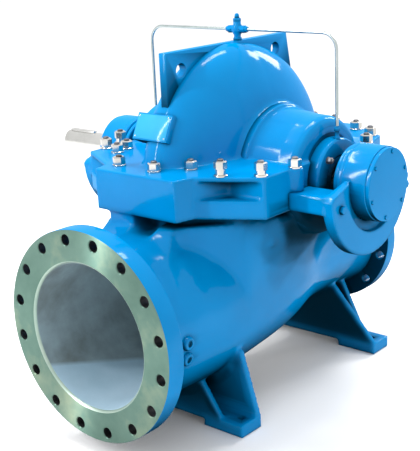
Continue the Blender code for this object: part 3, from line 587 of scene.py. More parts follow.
# %% Sections of the lower body
# y, radius underneath, half width, top, how square, depth of the valley on top
STATIONS = np.array([
    (-0.612, 0.232, 0.232, 0.232, 0.00, 0.000), (-0.540, 0.228, 0.228, 0.228, 0.00, 0.000),
    (-0.475, 0.232, 0.150, 0.234, 0.30, 0.004), (-0.450, 0.233, 0.118, 0.248, 0.70, 0.024),
    (-0.430, 0.234, 0.116, 0.268, 1.00, 0.044), (-0.400, 0.235, 0.136, 0.276, 1.00, 0.048),
    (-0.350, 0.237, 0.182, 0.288, 1.00, 0.020), (-0.250, 0.234, 0.255, 0.315, 1.00, 0.000),
    (-0.150, 0.227, 0.300, 0.320, 1.00, 0.000), (-0.050, 0.218, 0.304, 0.320, 1.00, 0.000),
    (0.020, 0.208, 0.306, 0.320, 1.00, 0.000), (0.080, 0.194, 0.303, 0.319, 1.00, 0.000),
    (0.140, 0.177, 0.296, 0.317, 0.90, 0.000), (0.200, 0.168, 0.280, 0.312, 0.80, 0.000),
    (0.290, 0.166, 0.240, 0.290, 0.50, 0.000), (0.370, 0.167, 0.200, 0.235, 0.15, 0.000),
    (0.430, 0.172, 0.180, 0.184, 0.00, 0.000), (0.4605, 0.178, 0.178, 0.178, 0.00, 0.000)])
RING = 144
SUCTION_BORE, DISCHARGE_BORE = 0.200, 0.150
SUCTION_BACK, DISCHARGE_BACK = -0.612, 0.4605
SUCTION_BORE_END, DISCHARGE_BORE_END = -0.300, 0.270
VALLEY_X, VALLEY_HALF, VALLEY_BLEND = 0.023, 0.040, 0.012
# towards the suction nozzle the shoulders are clipped at this height
SHOULDER_TOP, CLIPPED_TO, CLIP_BLEND = 0.252, -0.150, 0.060


def section_reach(angle, row):
    """Distance from the nozzles' centre line to the skin, at an angle over +X."""
    radius, half, top, squared, valley = row[1:]
    across, up = abs(math.cos(angle)), math.sin(angle)
    if up <= 0.0:
        return radius
    near, far = 0.0, top / max(up, 0.1)
    for _ in range(20):
        reach = (near + far) / 2
        climb = reach * up / top
        if half >= radius:
            side = radius + (half - radius) * climb * climb * (3 - 2 * climb)
        else:
            side = max(half, math.sqrt(max(0.0, radius ** 2 - (reach * up) ** 2)))
        near, far = (reach, far) if reach * across < side else (near, reach)
    reach = (radius + (top - radius) * up) * (1 - squared) + near * squared
    x = reach * math.cos(angle)
    reach -= valley * clamped((VALLEY_HALF - abs(x - VALLEY_X)) / VALLEY_BLEND)
    free = clamped((row[0] - CLIPPED_TO) / CLIP_BLEND)
    ceiling = SHOULDER_TOP + (top - SHOULDER_TOP) * free
    return min(reach, ceiling / max(up, 0.05)) if top > ceiling else reach


def body_rings():
    stops = np.arange(STATIONS[0, 0], STATIONS[-1, 0], 0.010)
    columns = [np.interp(stops, STATIONS[:, 0], STATIONS[:, k]) for k in range(6)]
    table = np.stack(columns, 1)
    smooth = table.copy()
    for turn in range(5):
        wide = slice(1, 6) if turn == 0 else slice(1, 4)
        smooth[1:-1, wide] = (smooth[:-2, wide] + 2 * smooth[1:-1, wide] + smooth[2:, wide]) / 4
    return list(smooth) + [STATIONS[-1]]


def body_shape():
    shape = bmesh.new()
    loop = bmesh.ops.create_circle(shape, cap_ends=True, segments=RING, radius=SUCTION_BORE)
    ring = loop["verts"]
    bmesh.ops.rotate(shape, cent=(0, 0, 0), matrix=Matrix.Rotation(math.pi / 2, 3, "X"),
                     verts=ring)

    def settle(verts, y, reach):
        for vert in verts:
            angle = math.atan2(vert.co.z, vert.co.x)
            far = reach(angle)
            vert.co = (far * math.cos(angle), y, far * math.sin(angle))

    settle(ring, SUCTION_BORE_END, lambda angle: SUCTION_BORE)
    edges = shape.edges[:]
    rings = [(SUCTION_BACK, lambda angle: SUCTION_BORE)]
    rings += [(row[0], lambda angle, row=row: section_reach(angle, row)) for row in body_rings()]
    rings += [(y, lambda angle: DISCHARGE_BORE) for y in (DISCHARGE_BACK, DISCHARGE_BORE_END)]
    for y, reach in rings:
        verts, edges = extended(shape, edges)
        settle(verts, y, reach)
    bmesh.ops.holes_fill(shape, edges=edges, sides=RING)
    bmesh.ops.translate(shape, vec=(0, 0, NOZZLE_Z), verts=shape.verts)
    bmesh.ops.recalc_face_normals(shape, faces=shape.faces)
    return shape


# %% [markdown]
# ### The split flange
# The casing opens along the shaft. A thick flange runs round it, with a recess on
# each side of the suction end where the upper half leaves a thin roof over the
# lower half's ledge. The recess is left out of the middle layer's outline.

# %% Layers of the split flange
SUCTION_CORNERS = [(0.145, -0.458), (0.158, -0.402), (0.321, -0.309), (0.321, -0.222)]
DISCHARGE_CORNERS = [(0.321, 0.217), (0.300, 0.290), (0.170, 0.372), (0.150, 0.404)]
BOSS_PLACE, BOSS_RADIUS = (0.321, 0.177), 0.022
ROOF_LOW, MIDDLE_HIGH = 0.707, 0.709


def both_sides(side):
    return side + [(-x, y) for x, y in reversed(side)]


def recess_edge():
    """Start and end of the edge that the recess is cut in, its way, and inwards."""
    near, far = Vector(SUCTION_CORNERS[1]), Vector(SUCTION_CORNERS[2])
    along = (far - near).normalized()
    return near, far, along, Vector((-along.y, along.x))


def recess_corners():
    near, far, along, inward = recess_edge()
    return [tuple(near + along * 0.005), tuple(near + along * 0.082 + inward * 0.053),
            tuple(near + along * 0.090 + inward * 0.053), tuple(far - along * 0.005)]


# the wall between the body's shoulders and the flange, set back under the edge
CORE = [(-0.105, -0.452), (-0.016, -0.452), (-0.012, -0.388), (0.062, -0.388), (0.110, -0.375),
        (0.128, -0.350), (0.222, -0.294), (0.262, -0.200), (0.262, -0.060), (-0.262, -0.060),
        (-0.262, -0.200), (-0.222, -0.294), (-0.128, -0.350), (-0.112, -0.390)]


def flange_layers():
    full = eased(both_sides(SUCTION_CORNERS + DISCHARGE_CORNERS), 0.005, True, 3)
    side = SUCTION_CORNERS[:2] + recess_corners() + SUCTION_CORNERS[2:] + DISCHARGE_CORNERS
    layers = [extruded(full, "z", FLANGE_BOTTOM, PARTING_Z + 0.0005),
              extruded(both_sides(side), "z", PARTING_Z - 0.002, MIDDLE_HIGH),
              extruded(full, "z", ROOF_LOW, FLANGE_TOP),
              extruded(CORE, "z", 0.500, FLANGE_BOTTOM + 0.006)]
    for x in (-BOSS_PLACE[0], BOSS_PLACE[0]):
        for y in (-BOSS_PLACE[1], BOSS_PLACE[1]):
            boss = circle(BOSS_RADIUS, 32, (x, y))
            layers.append(extruded(boss, "z", PARTING_Z, FLANGE_TOP))
    return layers


# %% [markdown]
# ### The feet
# Each foot is a base with two pads, and two upright plates that rise to the body,
# one wide and one narrow. They are cast with the body, so they go into the same
# remesh and get the same fillets.

# %% Feet
FOOT_OUTER, FOOT_INNER = 0.275, 0.138
FOOT_PAD, FOOT_ARCH, FOOT_PLATE = 0.035, 0.020, 0.018
# from and to along y, the wide plate's side, its top, the narrow plate's top and half base
FEET = {"front": (-0.379, -0.294, "to", (0.222, 0.215), (0.125, 0.143), 0.200),
        "rear": (0.299, 0.387, "from", (0.095, 0.235), (0.095, 0.225), 0.188)}


def foot_plate(low, half_base, top, head):
    right = [(half_base, FOOT_PAD), top, (top[0] * 0.8, head)]
    base = [(-half_base, FOOT_ARCH + 0.002), (half_base, FOOT_ARCH + 0.002)]
    loop = base + right + [(-x, z) for x, z in reversed(right)]
    return extruded(loop, "y", low, low + FOOT_PLATE)


def foot_forms(name):
    low, high, wide_at, wide_top, narrow_top, narrow_base = FEET[name]
    forms = [block((-FOOT_OUTER, low, FOOT_ARCH), (FOOT_OUTER, high, FOOT_PAD))]
    for side in (-1, 1):
        near, far = sorted((side * FOOT_INNER, side * FOOT_OUTER))
        forms.append(block((near, low, 0.0), (far, high, FOOT_PAD)))
    lows = (low, high - FOOT_PLATE)
    wide_low, narrow_low = reversed(lows) if wide_at == "to" else lows
    forms.append(foot_plate(wide_low, FOOT_OUTER, wide_top, 0.25))
    forms.append(foot_plate(narrow_low, narrow_base, narrow_top, 0.235))
    return forms


# %% Cast the whole, then part it along the shaft
def free_to_creep(place):
    """How freely a point may creep: not at the feet's soles and not in the recesses."""
    free = np.clip((place[:, 2] - 0.030) / 0.02, 0.0, 1.0)
    recess = (place[:, 2] > PARTING_Z - 0.012) & (place[:, 2] < 0.712)
    free[recess & (np.abs(place[:, 0]) > 0.150) & (place[:, 1] < -0.300)] = 0.0
    return free


def part_at(item, name, height, keep_above):
    """Copies an object and cuts the copy off level, closing the cut."""
    shape = bmesh.new()
    shape.from_mesh(item.data)
    cut = bmesh.ops.bisect_plane(shape, geom=shape.verts[:] + shape.edges[:] + shape.faces[:],
                                 plane_co=(0, 0, height), plane_no=(0, 0, 1),
                                 clear_inner=keep_above, clear_outer=not keep_above)
    rim = [part for part in cut["geom_cut"] if isinstance(part, bmesh.types.BMEdge)]
    bmesh.ops.triangle_fill(shape, edges=rim, use_beauty=True, use_dissolve=False)
    return to_mesh(name, shape)


voxel = 0.0042
forms = [casing_round(), body_shape()] + flange_layers() + foot_forms("front") + foot_forms("rear")
casting = voxel_cast("casting", forms, voxel, 14, free_to_creep)

# %% [markdown]
# Some faces of a casting are machined afterwards: the seats of the seals at both
# ends, the way for the shaft, the two bores, and the holes for the foundation
# bolts. They are cut with one joined cutter, after the fillets, so their edges
# stay crisp.

# %% Machine the casting
CHANNEL, SEAL_SEAT = 0.040, 0.122
FOOT_BOLT_X, FOOT_BOLT = 0.238, 0.012


def machining():
    cutter = spun([(-0.36, 0.0), (-0.36, SEAL_SEAT), (-0.308, SEAL_SEAT), (-0.308, CHANNEL),
                   (0.308, CHANNEL), (0.308, SEAL_SEAT), (0.36, SEAL_SEAT), (0.36, 0.0)],
                  "x", ON_SHAFT, 96)
    for low, high, *_ in FEET.values():
        for x in (-FOOT_BOLT_X, FOOT_BOLT_X):
            spun(rod(-0.05, 0.08, FOOT_BOLT), "z", (x, (low + high) / 2, 0.0), 32, cutter)
    spun(rod(-0.640, SUCTION_BORE_END, SUCTION_BORE), "y", ON_NOZZLES, 144, cutter)
    spun(rod(DISCHARGE_BORE_END, 0.490, DISCHARGE_BORE), "y", ON_NOZZLES, 144, cutter)
    return cutter


cut_away(casting, machining(), "MANIFOLD", HERE)

# %% Upper and lower halves
def thinned(item, most):
    faces = sum(len(polygon.vertices) - 2 for polygon in item.data.polygons)
    if faces > most:
        item.modifiers.new("thin", "DECIMATE").ratio = most / faces
        applied(item)
    return item


upper = thinned(part_at(casting, "upper_casting", PARTING_Z, True), 150000)
lower = thinned(part_at(casting, "lower_casting", PARTING_Z, False), 190000)
bpy.data.objects.remove(casting)
finish(upper, replaces=["upper_casing"], sharp=60.0)
finish(lower, replaces=["lower_casing", "front_foot", "rear_foot"], sharp=60.0)

# %% Painted shade in the corner under the recess's roof
def paint_recess_shade(item):
    near, _, along, inward = recess_edge()
    shade_layer = item.data.attributes["painted_shade"].data
    for vert in item.data.vertices:
        place = vert.co - TO_FRAME
        if not (PARTING_Z < place.z < ROOF_LOW + 0.0008 and place.y < -0.2):
            continue
        flat = Vector((abs(place.x), place.y)) - near
        run, depth = flat.dot(along), flat.dot(inward)
        if 0.006 < run < 0.180 and 0.002 < depth < 0.060:
            limit = 0.676 + abs(run - 0.086) * 0.34
            shade_layer[vert.index].value = clamped((place.z - limit) / 0.008)


paint_recess_shade(upper)

# %% [markdown]
# The seal chambers have turned steps. Voxels would blur these, so the casting is
# left a millimetre small there and the steps are spun as a skin over each end.

# %% Turned skins over the seal chambers
skin_line = [(0.100, 0.1965), (0.1245, 0.1965), (0.1275, 0.1895), (0.157, 0.1890),
             (0.1640, 0.1785), (0.250, 0.1685), (0.288, 0.1665), (0.3000, 0.1610),
             (0.3068, 0.1520), (0.3090, 0.1430)]
skin = [(0.100, 0.160)] + eased(skin_line, 0.0036) + [(0.3090, 0.1222), (0.280, 0.1222)]
for prefix, side in ENDS:
    shape = spun([(side * along, radius) for along, radius in skin], "x", ON_SHAFT, 144,
                 closed=True)
    piece(prefix + "_chamber_skin", shape)

# %% [markdown]
# ## Nozzle flanges
# A flange ring is turned, then drilled. Spinning its profile gives round edges for
# nothing, and one Boolean with a joined cutter drills all the holes, each with a
# small countersink that catches the light.

# %% Drilled flange rings
SUCTION = {"face": -0.667, "back": SUCTION_BACK, "outer": 0.290, "bore": SUCTION_BORE,
           "circle": 0.2625, "holes": 16, "hole": 0.0150, "way": -1.0}
DISCHARGE = {"face": 0.5045, "back": DISCHARGE_BACK, "outer": 0.230, "bore": DISCHARGE_BORE,
             "circle": 0.205, "holes": 12, "hole": 0.0140, "way": 1.0}
BORE_LIP = 0.006


def drill_line(low, high, hole, sink):
    """Profile of a hole from low to high, countersunk at both ends."""
    rim = hole + sink
    return [(low - 0.02, 0.0), (low - 0.02, rim), (low, rim), (low + sink, hole),
            (high - sink, hole), (high, rim), (high + 0.02, rim), (high + 0.02, 0.0)]


def flange_ring(name, size):
    line = [(size["back"], size["bore"]), (size["back"], size["outer"]),
            (size["face"], size["outer"]), (size["face"], size["bore"] + BORE_LIP),
            (size["face"] - size["way"] * BORE_LIP, size["bore"])]
    ring = to_mesh(name, spun(eased(line, 0.003, True), "y", ON_NOZZLES, 180, closed=True))
    profile = drill_line(*sorted((size["face"], size["back"])), size["hole"], 0.0022)
    drill = bmesh.new()
    for x, z in circle(size["circle"], size["holes"], start=math.pi / size["holes"]):
        spun(profile, "y", (x, 0.0, NOZZLE_Z + z), 28, drill)
    cut_away(ring, drill)
    return ring


ENAMEL, MACHINED, COATED, DRILLED, LIP = range(5)


def paint_flange(ring, size, drilled):
    """Machined in front, enamel on the rim and back, coated in the bore."""
    finish(ring, [casting_paint, face_metal, bore_grey, dark_steel, lip_metal],
           replaces=[ring.name.replace("_ring", "")], sharp=30.0)
    for polygon in ring.data.polygons:
        centre = polygon.center - TO_FRAME
        reach = math.hypot(centre.x, centre.z - NOZZLE_Z)
        depth = abs(centre.y - size["face"])
        facing = polygon.normal.y * size["way"]
        if reach < size["bore"] + 0.0005 and facing < 0.2:
            finish_here = COATED
        elif reach < size["bore"] + 0.0058 and 0.2 < facing < 0.98:
            finish_here = LIP
        elif facing > 0.45 and depth < 0.006 and reach < size["outer"] - 0.0012:
            finish_here = MACHINED
        elif abs(reach - size["circle"]) < size["hole"] + 0.0005 and abs(facing) < 0.5:
            finish_here = drilled
        else:
            finish_here = ENAMEL
        polygon.material_index = finish_here


paint_flange(flange_ring("suction_flange_ring", SUCTION), SUCTION, DRILLED)
paint_flange(flange_ring("discharge_flange_ring", DISCHARGE), DISCHARGE, ENAMEL)

# %% [markdown]
# Inside, the bores carry a grey coating that runs from the flange through the
# neck without a seam. It is a thin turned skin just inside the bored walls.

# %% Coating of the bores
COAT_HALF = 0.0006


def bore_skin(name, size, end):
    """A closed cup of coating from behind the face's edge to the bore's end."""
    start, bottom = size["face"] - size["way"] * 0.0075, end + size["way"] * 0.0015
    wall, inner = size["bore"] + COAT_HALF, size["bore"] - COAT_HALF
    line = [(end, 0.0), (end, wall), (start, wall), (start, inner), (bottom, inner), (bottom, 0.0)]
    piece(name, spun(line, "y", ON_NOZZLES, 160), bore_grey)


bore_skin("suction_bore_coating", SUCTION, SUCTION_BORE_END)
bore_skin("discharge_bore_coating", DISCHARGE, DISCHARGE_BORE_END)

# %% [markdown]
# ## Lifting plate and nameplate
# A lifting plate stands on the crest of the volute, and its two holes take the
# shackles. The plate is an outline of real thickness with softened edges, drilled
# like the flanges. The nameplate is a blank sheet riveted to a cast pad.

# %% Lifting plate
PLATE_HALF, PLATE_TOP = 0.0125, 1.021
PLATE_HOLES = [(-0.262, 0.968), (0.162, 0.978)]


def lifting_plate():
    start, end = math.radians(148), math.atan2(0.224, 0.257)
    loop = []
    for i in range(29):
        angle = start + (end - start) * i / 28
        reach = crest_radius(angle) - 0.010
        loop.append((reach * math.cos(angle), SHAFT_Z + reach * math.sin(angle)))
    loop += [(0.220, PLATE_TOP), (-0.322, PLATE_TOP)]
    plate = to_mesh("lifting_plate_cast",
                    extruded(loop, "x", -PLATE_HALF, PLATE_HALF, soft=0.0025))
    drill = bmesh.new()
    for y, z in PLATE_HOLES:
        spun(drill_line(-PLATE_HALF, PLATE_HALF, 0.0195, 0.0015), "x", (0.0, y, z), 40, drill)
    cut_away(plate, drill)
    finish(plate, replaces=["lifting_plate"])


lifting_plate()

# %% Nameplate on its pad
NAMEPLATE_ANGLE, NAMEPLATE_REACH = math.radians(154.5), 0.3925
WIDE, HIGH = 0.058, 0.034


def tilted(shape):
    """Lays a shape that was made flat on the volute."""
    normal = Vector((0.0, math.cos(NAMEPLATE_ANGLE), math.sin(NAMEPLATE_ANGLE)))
    place = Vector((-0.020, 0.0, SHAFT_Z)) + normal * NAMEPLATE_REACH
    turn = Matrix.Rotation(NAMEPLATE_ANGLE - math.pi / 2, 4, "X")
    bmesh.ops.transform(shape, matrix=Matrix.Translation(place) @ turn, verts=shape.verts)
    return shape


def slab(grow, low, high, shape=None, soft=0.0):
    """A plate a little larger or smaller than the nameplate."""
    return block((-WIDE - grow, -HIGH - grow, low), (WIDE + grow, HIGH + grow, high), shape, soft)


pad = slab(0.004, -0.045, 0.0, soft=0.002)
piece("nameplate_cast_pad", tilted(pad), replaces=["nameplate_pad"])
sheet = slab(0.0, 0.0003, 0.0018, soft=0.0005)
slab(-0.003, 0.0016, 0.0021, sheet, 0.0002)
piece("nameplate_sheet", tilted(sheet), plate_blue, replaces=["nameplate"])
rivets = bmesh.new()
rivet = [(0.0016, 0.0), (0.0016, 0.0026), (0.0024, 0.0024), (0.0032, 0.0014), (0.0035, 0.0)]
for x in (-WIDE + 0.006, WIDE - 0.006):
    for y in (-HIGH + 0.006, HIGH - 0.006):
        spun(rivet, "z", (x, y, 0.0), 16, rivets)
piece("nameplate_rivets", tilted(rivets), chrome)

# %% [markdown]
# ## Bearing ends
# At both ends a half ring, cast with two arms, hangs under the bearing housing
# and holds it from below. It is cast work, so it is remeshed and filleted like
# the casing, only finer. The housings and covers are turned.

# %% Bearing brackets
BRACKET_OUTER, BRACKET_RECESS, BRACKET_CENTRE_Y = 0.194, 0.133, -0.018
BRACKET_SEAT, BRACKET_EAR_Z, ARM_LOW = 0.104, 0.683, 0.612


def bracket_loop(inner):
    """Outline of the half ring, from its arms round its outside and back inside."""
    ear = math.asin((BRACKET_EAR_Z - SHAFT_Z) / inner)
    inside = arc(inner, (0.0, SHAFT_Z), ear, -(math.pi + 2 * ear) / 60, 61)
    low = math.asin((PARTING_Z - ARM_LOW) / BRACKET_OUTER)
    outer = arc(BRACKET_OUTER, (BRACKET_CENTRE_Y, SHAFT_Z), math.pi + low,
                (math.pi - 2 * low) / 60, 61)
    near, far = BRACKET_CENTRE_Y - BRACKET_OUTER, BRACKET_CENTRE_Y + BRACKET_OUTER
    left = [(near + 0.010, PARTING_Z), (near, PARTING_Z - 0.010)]
    right = [(far, PARTING_Z - 0.010), (far - 0.010, PARTING_Z)]
    return left + outer + right + inside


def bracket(prefix, side):
    def span(low, high):
        return sorted((side * low, side * high))

    forms = [extruded(bracket_loop(BRACKET_SEAT), "x", *span(0.427, 0.444)),
             extruded(bracket_loop(BRACKET_RECESS), "x", *span(0.440, 0.460))]
    low_x, high_x = span(0.3216, 0.432)
    for y_side in (-1, 1):
        low_y, high_y = sorted((y_side * 0.120, BRACKET_CENTRE_Y + y_side * BRACKET_OUTER))
        forms.append(block((low_x, low_y, ARM_LOW), (high_x, high_y, PARTING_Z)))
    item = voxel_cast(prefix + "_bracket_cast", forms, 0.003, 24)
    for vert in item.data.vertices:
        vert.co += TO_FRAME
    thinned(item, 70000)
    finish(item, replaces=[prefix + "_bearing_bracket"], sharp=60.0)


for prefix, side in ENDS:
    bracket(prefix, side)

# %% Bearing housings and covers
CLEAR_WAY = 0.0375


def turned_part(name, profile, side, soft, replaces, material=casting_paint,
                body="casing", steps=120):
    """Spins a closed profile that counts from the middle outwards to one end's side."""
    line = [(side * along, radius) for along, radius in eased(profile, soft, True, 3)]
    piece(name, spun(line, "x", ON_SHAFT, steps, closed=True), material, body, replaces)


housing = [(0.400, CLEAR_WAY), (0.400, 0.100), (0.403, 0.1035), (0.411, 0.1035), (0.413, 0.1020),
           (0.417, 0.1020), (0.419, 0.1030), (0.486, 0.1030), (0.4877, 0.1018),
           (0.4877, CLEAR_WAY)]
inner_cover = [(0.386, CLEAR_WAY), (0.386, 0.0945), (0.389, 0.098), (0.3997, 0.098),
               (0.3997, CLEAR_WAY)]
for prefix, side in ENDS:
    turned_part(prefix + "_housing_turned", housing, side, 0.0012, [prefix + "_bearing_housing"])
    turned_part(prefix + "_inner_cover_turned", inner_cover, side, 0.002,
                [prefix + "_inner_bearing_cover"])

shut_cover = [(0.488, 0.0), (0.488, 0.0995), (0.4883, 0.1000), (0.4990, 0.1000), (0.500, 0.0990),
              (0.500, 0.0)]
piece("non_drive_end_cover_turned", spun(eased(shut_cover, 0.0015), "x", ON_SHAFT, 120),
      replaces=["non_drive_end_outer_bearing_cover"])
open_cover = [(0.488, CLEAR_WAY), (0.488, 0.100), (0.501, 0.100), (0.501, 0.062), (0.508, 0.058),
              (0.508, CLEAR_WAY)]
turned_part("drive_end_cover_turned", open_cover, -1.0, 0.003, ["drive_end_outer_bearing_cover"])

# %% [markdown]
# ## Shaft and seals
# The shaft is ground and its drive end has a key for the coupling. Everything on
# it rides on the rotor, and turned pieces look the same at every angle, apart
# from the key.

# %% Rotor pieces
shaft_line = [(-0.744, 0.0), (-0.744, 0.0325), (0.430, 0.0325), (0.430, 0.030), (0.482, 0.030),
              (0.482, 0.0)]
shaft = to_mesh("shaft_ground", spun(eased(shaft_line, 0.003), "x", ON_SHAFT))
cut_away(shaft, block((-0.7323, -0.0093, SHAFT_Z + 0.0262), (-0.6217, 0.0093, SHAFT_Z + 0.06)))
finish(shaft, [shaft_steel], "rotor", ["shaft"], 30.0)
key = block((-0.732, -0.009, SHAFT_Z + 0.0265), (-0.622, 0.009, SHAFT_Z + 0.0375), soft=0.0012)
piece("shaft_key_ground", key, shaft_steel, "rotor", ["shaft_key"])
sleeve = [(0.269, 0.0328), (0.269, 0.0365), (0.3727, 0.0365), (0.3727, 0.0328)]
ring = [(0.373, 0.0328), (0.373, 0.046), (0.3755, 0.048), (0.3795, 0.048), (0.380, 0.0328)]
for prefix, side in ENDS:
    turned_part(prefix + "_sleeve_ground", sleeve, side, 0.0006, [prefix + "_shaft_sleeve"],
                shaft_steel, "rotor", 80)
    turned_part(prefix + "_deflector_ring", ring, side, 0.0008, [prefix + "_deflector"],
                dark_steel, "rotor", 80)

# %% Glands
gland = [(0.3083, 0.0400), (0.3083, 0.1100), (0.3400, 0.1100), (0.3460, 0.1060),
         (0.3460, 0.0640), (0.3430, 0.0600), (0.3430, 0.0400)]
for prefix, side in ENDS:
    turned_part(prefix + "_gland_turned", gland, side, 0.0016, [prefix + "_seal_gland"])

# %% [markdown]
# ## Nuts, studs and bolts
# Bright plated nuts sit on the studs of the split flange. One nut is modelled with
# its washer, its chamfered hexagon and the rounded end of its stud, and repeated
# at each place into one joined mesh for each group.

# %% One nut and one bolt head
WASHER_TOP = 0.0040


def add_hexagon(shape, axis, centre, across, low, high, chamfer=0.0015):
    """A hexagon bar whose outer end has the turned chamfer of a nut."""
    before = set(shape.verts)
    extruded(circle(across / math.sqrt(3), 6, start=math.pi / 6), "z", low, high, shape)
    made = since(shape, before)
    rim = {edge for vert in made for edge in vert.link_edges
           if all(abs(end.co.z - high) < 1e-6 for end in edge.verts)}
    bmesh.ops.bevel(shape, geom=list(rim), offset=chamfer, offset_type="OFFSET", affect="EDGES",
                    segments=1, profile=0.5, material=-1)
    made = since(shape, before)
    bmesh.ops.transform(shape, matrix=turn_to(axis, centre), verts=made)


def nut_top(across, stand):
    return WASHER_TOP + stand + across * 0.68


def add_nut(shape, axis, centre, across, stand=0.0):
    """Washer and nut; a stand is a sleeve under the nut."""
    washer = across * 0.60
    spun([(0.0, 0.0), (0.0, washer), (0.0032, washer), (WASHER_TOP, washer - 0.001),
          (WASHER_TOP, 0.0)], axis, centre, 28, shape)
    if stand:
        spun(rod(0.003, WASHER_TOP + stand, across * 0.44), axis, centre, 28, shape)
    add_hexagon(shape, axis, centre, across, 0.0042 + stand, nut_top(across, stand),
                across * 0.10)


def add_stud(shape, axis, centre, across, stand=0.0):
    """The stud's rounded end in the top of a nut."""
    top = nut_top(across, stand)
    stud = across * 0.27
    spun([(top - 0.004, 0.0), (top - 0.004, stud), (top + 0.0030, stud),
          (top + 0.0045, stud * 0.75), (top + 0.0045, 0.0)], axis, centre, 20, shape)


# %% Nuts of the split flange
NEAR_NUTS = [(0.025, -0.403, 0.0), (-0.112, -0.396, 0.0), (0.094, -0.334, 0.0),
             (0.210, -0.350, 0.016), (0.299, -0.296, 0.012), (0.321, -0.177, 0.0),
             (-0.235, -0.281, 0.0), (-0.247, -0.229, 0.0), (-0.304, -0.257, 0.006),
             (-0.321, -0.180, 0.012)]
FAR_NUTS = [(0.085, 0.372, 0.0), (-0.085, 0.372, 0.0), (0.190, 0.330, 0.0), (-0.190, 0.330, 0.0),
            (0.276, 0.272, 0.0), (-0.276, 0.272, 0.0), (0.321, 0.177, 0.0), (-0.321, 0.177, 0.0),
            (0.0, 0.384, 0.0)]
NUT_ACROSS = 0.031
nuts, studs = bmesh.new(), bmesh.new()
for x, y, stand in NEAR_NUTS + FAR_NUTS:
    place = (x, y, FLANGE_TOP + 0.0002)
    add_nut(nuts, "z", place, NUT_ACROSS, stand)
    add_stud(studs, "z", place, NUT_ACROSS, stand)
piece("split_flange_nuts", nuts, chrome)
piece("split_flange_studs", studs, dark_steel)

# %% Studs and nuts of the glands
gland_nuts = bmesh.new()
for prefix, side in ENDS:
    for y, z in circle(0.086, 4, (0.0, SHAFT_Z), math.radians(45)):
        for add in (add_nut, add_stud):
            add(gland_nuts, Vector((side, 0, 0)), (side * 0.3462, y, z), 0.016)
piece("gland_nuts", gland_nuts, dark_steel)

# %% Cover screws and bracket bolts
screws = bmesh.new()
for y, z in circle(0.089, 6, (0.0, SHAFT_Z), math.radians(20)):
    for x in (0.5000, -0.5010):
        add_hexagon(screws, Vector((x, 0, 0)), (x, y, z), 0.010, 0.0, 0.0042)
for prefix, side in ENDS:
    for y in (-0.170, 0.150):
        add_hexagon(screws, Vector((side, 0, 0)), (side * 0.4602, y, 0.622), 0.020, 0.0, 0.011)
piece("painted_screws", screws)

# %% [markdown]
# ## Flush pipes and plugs
# Two thin pipes carry clean water from a cross fitting on the lifting plate to
# the seal chambers. Each pipe is a ring swept along its route, with a
# quarter bend made of short steps.

# %% Pipes
TEE_Z = 1.052
PIPE_RADIUS, PIPE_START_X, PIPE_FOOT_X, PIPE_BEND = 0.0045, 0.0383, 0.337, 0.045
PIPE_END, PIPE_SIDES = 0.8023, 24


def pipe_route(side):
    centre = Vector((side * (PIPE_FOOT_X - PIPE_BEND), 0.0, TEE_Z - PIPE_BEND))
    route = [Vector((side * PIPE_START_X, 0.0, TEE_Z))]
    for i in range(17):
        angle = math.pi / 2 * i / 16
        reach = Vector((side * math.sin(angle), 0.0, math.cos(angle))) * PIPE_BEND
        route.append(centre + reach)
    return route + [Vector((side * PIPE_FOOT_X, 0.0, PIPE_END))]


def swept(route, radius):
    """Draws a ring along a route that lies in the plane of the shaft."""
    shape = bmesh.new()
    loop = bmesh.ops.create_circle(shape, cap_ends=True, segments=PIPE_SIDES, radius=radius)
    edges = shape.edges[:]
    ways = [(route[min(i + 1, len(route) - 1)] - route[max(i - 1, 0)]).normalized()
            for i in range(len(route))]
    ring = {vert: vert.co.copy() for vert in loop["verts"]}

    def key(vert):
        return tuple(round(value, 7) for value in vert.co)

    def settle(ring, spot, way):
        across = way.cross(AXIS["y"]).normalized()
        for vert, flat in ring.items():
            vert.co = spot + across * flat.x + AXIS["y"] * flat.y

    settle(ring, route[0], ways[0])
    for spot, way in zip(route[1:], ways[1:]):
        flats = {key(vert): flat for vert, flat in ring.items()}
        verts, edges = extended(shape, edges)
        ring = {vert: flats[key(vert)] for vert in verts}
        settle(ring, spot, way)
    bmesh.ops.holes_fill(shape, edges=edges, sides=PIPE_SIDES)
    bmesh.ops.recalc_face_normals(shape, faces=shape.faces)
    return shape


for prefix, side in ENDS:
    piece(prefix + "_pipe_drawn", swept(pipe_route(side), PIPE_RADIUS), pipe_steel,
          replaces=[prefix + "_flush_pipe"])

